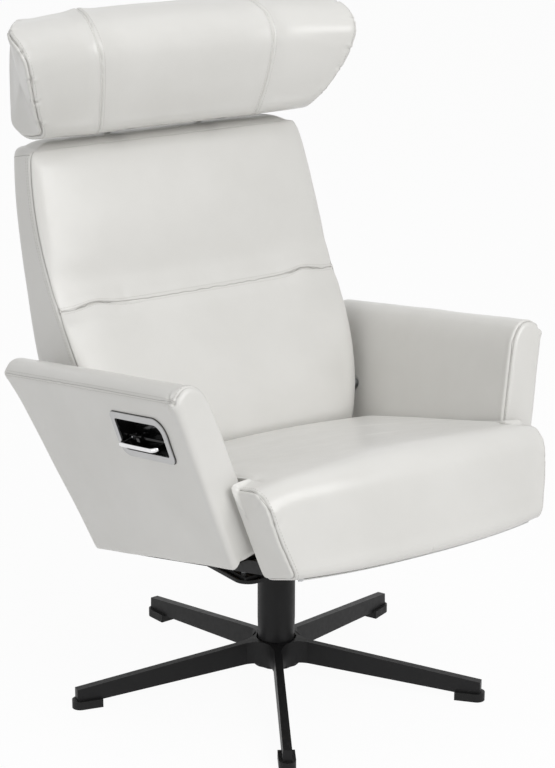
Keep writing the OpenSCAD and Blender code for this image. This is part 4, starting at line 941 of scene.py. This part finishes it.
def back_mesh(name):
    beside_seam = [.0012, .0026, .0042, .0062, .009, .013, .018]
    ws = [*np.linspace(CUSHION_FOOT, 0.148, 10), *np.linspace(0.156, 0.356, 22),
          *[LUMBAR - d for d in beside_seam[::-1]], LUMBAR, *[LUMBAR + d for d in beside_seam],
          *np.linspace(0.412, 0.590, 19), .597, .604, .611, .617, .6225, .627,
          .6305, .6332, .6352, .6364, BACK_TOP]
    rings = []
    for w in ws:
        f = back_front_ring(w)
        # the cushion's core, which the shell hides, ends lower than its front
        cw = CUSHION_FOOT + (w - CUSHION_FOOT) / (BACK_TOP - CUSHION_FOOT) * (0.607 - CUSHION_FOOT)
        cb, cy = back_half(cw) - 0.015, seam_y(cw)
        rear = [(-back_half(w) + .006, seam_y(w) + .0006, w * .7 + cw * .3), (-cb, cy + .001, cw),
                (-cb, (cy + .205) / 2, cw), (-cb, .1975, cw), (-cb + .0075, .2045, cw),
                (-cb * .5, REAR_Y, cw), (0, REAR_Y, cw)]
        rear += [(-x, y, z) for x, y, z in rear[-2::-1]]
        shift = (lumbar_at(f[:, 0]) - LUMBAR) * bell(w - LUMBAR, 0.045)
        rings.append(unit_to_row(np.vstack([np.column_stack([f, w + shift]), rear])))
    return loft(name, rings)


back = back_mesh("back_leather")


def on_front(x, w):
    """Point of the backrest's front at a place across it and a height."""
    f = back_front_ring(w, 90)
    i = np.argsort(f[:, 0])
    return np.array([x, np.interp(x, f[i, 0], f[i, 1]), w])


def side_line(side, ws, behind):
    """Line up the backrest's side, at a distance behind its seam."""
    return unit_to_row(np.array([(side * back_half(w), seam_y(w) + behind, w) for w in ws]))


lumbar_end = back_half(LUMBAR) * 0.999
lumbar = unit_to_row(np.array([on_front(x, lumbar_at(x)) for x in np.linspace(-lumbar_end, lumbar_end, 140)]))


def back_hold(p):
    q = row_to_unit(p)
    x, y, w = q[:, 0], q[:, 1], q[:, 2]
    sew = 1 - ease((distance_to(p, dense(lumbar)) - 0.003) / 0.030)
    rim = 1 - ease((along(SEAM_Y, back_t(w)) - y - 0.004) / 0.022)
    foot = 1 - ease((w - 0.125) / 0.05)
    top = ease((w - 0.612) / 0.018)
    beside = np.where(w < 0.30, ease((np.abs(x) - back_half(w) + 0.035) / 0.02), 0)
    return np.maximum.reduce([sew * 0.97, rim, foot, top, beside])


swell(back, back_hold, pressure=2.4, voxel=0.008, cap=0.018, gain=0.7)
subdivide(back)
seam(back, [lumbar], depth=0.0022, width=0.0170, puff=0.0006, reach=0.040)
seam(back, [lumbar], depth=0.0040, width=0.0016, puff=0.0006, reach=0.012)
undulate(back, 0.0012, 7.0, 9.0, lambda p: 1 - back_hold(p))
for x in (-0.15, 0.15):
    pucker(back, unit_to_row(on_front(x, lumbar_at(x))), 0.024, 0.0007, 3, 0.5)
PIN_R = 0.0083  # room for the pivot pin
for side, (a, b) in ((1, (0.159, 0.1752)), (-1, (-0.1752, -0.159))):
    cut(back, row_box("slot", (a, 0.088, 0.10), (b, 0.2065, 0.24), unit_to_row))
    cut(back, rod_cutter("hole", 0.160, 0.29, *PIVOT, PIN_R, side))
soft_piece(back, "backrest", LEATHER, "back_cushion")
tree = tree_of(back)
# painted shade: a dark tube along the bottom of the lumbar seam stands in for its shadow
seam_shade_line("lumbar_seam_shade", "backrest", tree, lumbar, 0.0006)
for k, side in enumerate((-1, 1)):
    rim = side_line(side, np.linspace(0.112, 0.636, 160), 0)
    # painted shade: a dark tube along the side seam stands in for its shadow
    seam_shade_line("back_rim_seam_shade_%d" % k, "backrest", tree, rim, 0.0007)
for k, off in enumerate((0.0055, -0.0055)):
    path = lumbar + (unit_to_row(np.array([0, 0, off])) - unit_to_row(np.zeros(3)))
    stitches("lumbar_stitch_%d" % k, "backrest", tree, path)


SHELL_REAR, SHELL_ROUND, SHELL_WALL = 0.252, 0.024, 0.011


def shell_section(w, inset=0.0):
    """Outline of the rear shell at a height, with its front side flat at the seam."""
    b, sy = back_half(w) - inset, seam_y(w) + 0.0012
    rear, r = SHELL_REAR - inset, SHELL_ROUND - inset
    half = [(x, sy) for x in np.linspace(0, b - 0.004, 12)]
    half += [(b - dx, sy + dy) for dx, dy in ((.0032, .0002), (.0020, .0012), (.0007, .0030), (.0001, .0048))]
    half += [(b, y) for y in np.linspace(sy + .0075, rear - r - .003, 10)]
    half += [(b - r + r * math.cos(q), rear - r + r * math.sin(q)) for q in np.linspace(0, math.pi / 2, 9)]
    half += [(x, rear) for x in np.linspace(b - r - .01, 0, 14)]
    return np.array(half + [(-x, y) for x, y in half[-2:0:-1]])


def shell_mesh(name):
    rings = []
    for w in [BACK_FOOT, .0632, .0655, .069, *np.linspace(.075, .600, 40),
              .612, .621, .627, .631, .634, .636, BACK_TOP]:
        p = shell_section(w)
        pull = drawn_in(BACK_TOP - w, 0.006) + drawn_in(w - BACK_FOOT, 0.005) * 0.5
        x = p[:, 0] - np.sign(p[:, 0]) * pull * np.clip(np.abs(p[:, 0]) / .1, 0, 1)
        y = np.where(p[:, 1] > .2, p[:, 1] - pull, p[:, 1])
        slope = 0.2 * (y - 0.184) * float(back_t(w)) ** 6
        rings.append(np.column_stack([x, y, np.full(len(x), w) + slope]))
    # crowned top, from its edge to its middle
    top, mid = rings[-1], np.array([0, 0.216, 0])
    for k in (.985, .95, .89, .8, .66, .5, .3, .12):
        q = mid + (top - mid) * [k, k, 1]
        q[:, 0] = np.sign(top[:, 0]) * np.maximum(np.abs(top[:, 0]) - (1 - k) * 0.05, np.abs(top[:, 0]) * k)
        q[:, 2] = top[:, 2] * k + (1 - k) * (BACK_TOP + 0.0064) + 0.0105 * (1 - k ** 3)
        rings.append(q)
    return loft(name, [unit_to_row(r) for r in rings])


def shell_hollow(name):
    rings = []
    for w in [.040, *np.linspace(BACK_FOOT, .620, 30), .626]:
        at = max(w, BACK_FOOT)
        p = shell_section(at, SHELL_WALL)
        y = np.where(p[:, 1] < seam_y(at) + .0022, p[:, 1] - .03, p[:, 1])
        rings.append(unit_to_row(np.column_stack([p[:, 0], y, np.full(len(p), w)])))
    return loft(name, rings)


shell = shell_mesh("back_shell_leather")
subdivide(shell)
seam_ws = np.linspace(0.075, 0.632, 220)
shell_seams = [side_line(side, seam_ws, 0.0062) for side in (-1, 1)]
seam(shell, shell_seams, depth=0.0005, width=0.0012, puff=0.0004, reach=0.008)
undulate(shell, 0.0010, 9.0, 2.0)
cut(shell, shell_hollow("hollow"))
STAY_X, STAY_Y, STAY_R = 0.09, 0.2255, 0.0093  # room for the headrest's stays
stay_turn = np.linspace(0, 2 * math.pi, 32, endpoint=False)
for side in (1, -1):
    cut(shell, rod_cutter("hole", 0.150, 0.29, *PIVOT, PIN_R, side))
    well = [side * STAY_X + STAY_R * np.cos(stay_turn), STAY_Y + STAY_R * np.sin(stay_turn)]
    cut(shell, loft("well", [unit_to_row(np.column_stack([*well, np.full(32, z)])) for z in (.60, .67)]))
soft_piece(shell, "backrest", LEATHER, "back_shell")
tree = tree_of(shell)
for k, side in enumerate((-1, 1)):
    for j, behind in enumerate((0.0062, 0.0105)):
        stitches("shell_stitch_%d%d" % (k, j), "backrest", tree, side_line(side, seam_ws, behind))
    end = unit_to_row(np.array([(side * back_half(.631), y, .631) for y in np.linspace(.186, .238, 30)]))
    # painted shade: a dark tube along the bottom of the seam stands in for its shadow
    seam_shade_line("shell_top_seam_shade_%d" % k, "backrest", tree, end, 0.0005)

# Headrest
# section of the headrest, in the middle and at its ends
HEAD = np.array([[135, 663], [117, 690], [101, 717], [84, 754], [79, 773], [81, 794], [94, 818],
                 [120, 839], [142, 849], [165, 855], [188, 830], [204, 790], [212, 750], [219, 715],
                 [223, 678], [210, 662], [190, 655], [168, 653], [146, 655]]) / 1000
HEAD_END = np.array([[116, 668], [96, 690], [80, 712], [62, 742], [53, 760], [47, 786], [58, 812],
                     [90, 838], [124, 848], [158, 851], [184, 828], [201, 788], [210, 750],
                     [217, 715], [221, 680], [208, 663], [188, 656], [160, 654], [136, 656]]) / 1000
HEAD_HALF = 0.270
HEAD_ROUND, HEAD_CORE = 0.014, 0.100  # radius of its ends, and half the section that they draw in
PANEL_SEAM, END_SEAM = 0.22, 0.0058   # shares of its width from an end


def head_half(y, z):
    """Half width of the headrest, whose wings reach out at the front and narrow to the rear."""
    up = np.clip((z - 0.655) / 0.200, 0, 1)
    wing = (0.008 + 0.052 * (1 - (1 - up) ** 1.5)) * (1 - ease((y - 0.07) / 0.10))
    return 0.262 + wing + 0.008 * ease(up / 0.18)


def head_droop(x):
    """How far the padding falls from the middle to the wings."""
    return 0.012 * (np.abs(x) / 0.29) ** 2.2 - 0.003


def head_ring(t, n=110):
    """Section of the headrest in the seat unit's frame, at share t of its width from the +x end."""
    k = min(1, t / PANEL_SEAM)
    k = k * k * (3 - 2 * k) * 0.5 + k * 0.5
    m = closed_curve(HEAD_END * (1 - k) + HEAD * k, n)
    lo, hi = m.min(0), m.max(0)
    cy = (lo[0] + hi[0]) / 2 * 0.8 + 0.150 * 0.2
    cz = (lo[1] + hi[1]) / 2
    f = 1 - drawn_in(t * 2 * HEAD_HALF, HEAD_ROUND) / HEAD_CORE
    y, z = cy + (m[:, 0] - cy) * f, cz + (m[:, 1] - cz) * f
    x = (0.5 - t) * 2 * head_half(y, z)
    return np.column_stack([x, y, z - head_droop(x) * np.clip((z - 0.66) / 0.12, 0, 1)])


head_ts = [0, .0012, .003, END_SEAM, .0092, .0132, .018, .0235, .030, .038, *np.linspace(.048, .19, 12),
           .2, .2075, .2125, .216, .2185, PANEL_SEAM, .2215, .224, .2275, .2325, .24,
           *np.linspace(.252, .5, 18)]
half_rings = [head_ring(t) for t in head_ts]
all_rings = half_rings + [r * [-1, 1, 1] for r in half_rings[-2::-1]]
head = loft("headrest_leather", [unit_to_row(r) for r in all_rings])


def head_seam(t, sign, shift=0.0):
    """Closed line round the headrest; the seams of its panels run straighter than its section."""
    r = head_ring(t, 260)
    if t > 0.1:
        r[:, 0] = 0.45 * r[:, 0] + 0.55 * r[:, 0].mean()
    r = np.vstack([r, r[:1]])
    return unit_to_row(r * [sign, 1, 1] + [sign * shift, 0, 0])


head_seams = [head_seam(PANEL_SEAM, s) for s in (1, -1)]
end_seams = [head_seam(END_SEAM, s) for s in (1, -1)]


def head_hold(p):
    q = row_to_unit(p)
    x, y, w = q[:, 0], q[:, 1], q[:, 2]
    all_paths = np.vstack([dense(s) for s in head_seams + end_seams])
    sew = 1 - ease((distance_to(p, all_paths) - 0.003) / 0.024)
    end = ease((np.abs(x) - head_half(y, w) + 0.008) / 0.006)
    under = 1 - ease((w - 0.664) / 0.012)
    return np.maximum.reduce([sew * 0.97, end * 0.9, under])


swell(head, head_hold, pressure=2.6, voxel=0.0065, cap=0.012, gain=0.7)
subdivide(head)
seam(head, head_seams, depth=0.0028, width=0.0015, puff=0.0008, reach=0.010)
seam(head, end_seams, depth=0.0024, width=0.0015, puff=0.0012, reach=0.008)
for path in end_seams:
    for share in (0.02, 0.10, 0.18, 0.27, 0.36, 0.44):
        pucker(head, path[int(share * 260)], 0.012, 0.0011, 3, share * 40)
undulate(head, 0.0008, 10.0, 7.0)
for a, b in ((0.079, 0.101), (-0.101, -0.079)):
    cut(head, row_box("slot", (a, 0.150, 0.640), (b, 0.242, 0.7005), unit_to_row))
cut(head, row_box("pocket", (-0.125, 0.1497, 0.672), (0.125, 0.212, 0.722), unit_to_row))
soft_piece(head, "headrest", LEATHER, "headrest_cushion")
tree = tree_of(head)
for k, sign in enumerate((1, -1)):
    for j, off in enumerate((0.0050, -0.0050)):
        stitches("head_stitch_%d%d" % (k, j), "headrest", tree, head_seam(PANEL_SEAM, sign, off))
    # painted shade: a dark tube along the bottom of the seam stands in for its shadow
    seam_shade_line("head_end_seam_shade_%d" % k, "headrest", tree, end_seams[k], 0.0005)
    stitches("head_end_stitch_%d" % k, "headrest", tree, head_seam(.0135, sign))

# Gasket behind the bezel
gasket_outline = soft_rect(0.1474, 0.0734, [0.0097, 0.0247, 0.0097, 0.0287])
gasket_hole = soft_rect(0.1254, 0.0514, [0.0045, 0.0138, 0.0045, 0.0178])
GASKET_LOW, GASKET_HIGH = 0.0003, 0.0011
g = [recess_to_row(np.column_stack([o, np.full(len(o), z)])) for z, o in (
    (GASKET_LOW, gasket_hole), (GASKET_LOW, gasket_outline),
    (GASKET_HIGH, gasket_outline * 0.9995), (GASKET_HIGH, gasket_hole))]
gasket = loft("bezel_gasket", g + [g[0]], caps=False)
dress(gasket, RUBBER)
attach(gasket, "seat_unit")

# Floor, background and light
floor_mesh = bpy.data.meshes.new("floor")
floor_mesh.from_pydata([(-9, -9, 0), (9, -9, 0), (9, 9, 0), (-9, 9, 0)], [], [(0, 1, 2, 3)])
floor = bpy.data.objects.new("floor", floor_mesh)
bpy.context.scene.collection.objects.link(floor)


def seen_directly(tree):
    """1 for rays from the camera, a glossy or a clear surface, which see the white background."""
    rays = node(tree, "LightPath", {}).outputs
    value = rays["Is Camera Ray"]
    for ray in ("Is Glossy Ray", "Is Transmission Ray"):
        value = node(tree, "Math", {0: value, 1: rays[ray]}, operation="MAXIMUM").outputs[0]
    return value


FLOOR_GLOW = 0.95    # share of plain white in the floor that is seen directly
ROOM_LIGHT = 0.37    # strength of the world as a light
mat, t, co = new_material("pale_floor")
tone = ramp(t, noise(t, co, 3.0), (0.90,) * 3, (0.92,) * 3, (0.0, 1.0))
pale = node(t, "BsdfPrincipled", {"Base Color": tone, "Roughness": 0.9})
glow = node(t, "Emission", {"Strength": 1.0})
share = node(t, "Math", {0: seen_directly(t), 1: FLOOR_GLOW}, operation="MULTIPLY")
both = node(t, "MixShader", {0: share.outputs[0], 1: pale.outputs[0], 2: glow.outputs[0]})
node(t, "OutputMaterial", {0: both.outputs[0]})
dress(floor, mat)

world = bpy.data.worlds.new("world")
bpy.context.scene.world = world
world.use_nodes = True
t = world.node_tree
t.nodes.clear()
lit, seen = [node(t, "Background", {"Color": (1, 1, 1, 1), "Strength": k}) for k in (ROOM_LIGHT, 1.0)]
both = node(t, "MixShader", {0: seen_directly(t), 1: lit.outputs[0], 2: seen.outputs[0]})
node(t, "OutputWorld", {0: both.outputs[0]})


def area_light(name, place, target, size, power):
    data = bpy.data.lights.new(name, "AREA")
    data.shape = "RECTANGLE"
    data.size, data.size_y = size
    data.energy = power
    obj = bpy.data.objects.new(name, data)
    bpy.context.scene.collection.objects.link(obj)
    obj.location = place
    obj.rotation_euler = (Vector(target) - Vector(place)).to_track_quat("-Z", "Y").to_euler()


area_light("key", (0.1, -3.1, 2.9), (0, 0, 0.6), (2.3, 2.0), 74)
area_light("fill", (-3.3, -1.2, 1.5), (0, 0, 0.5), (3.8, 2.8), 24)
area_light("top", (0.4, 0.0, 3.4), (0, 0, 0.6), (2.8, 2.8), 21)
bpy.context.scene.view_settings.view_transform = "Standard"
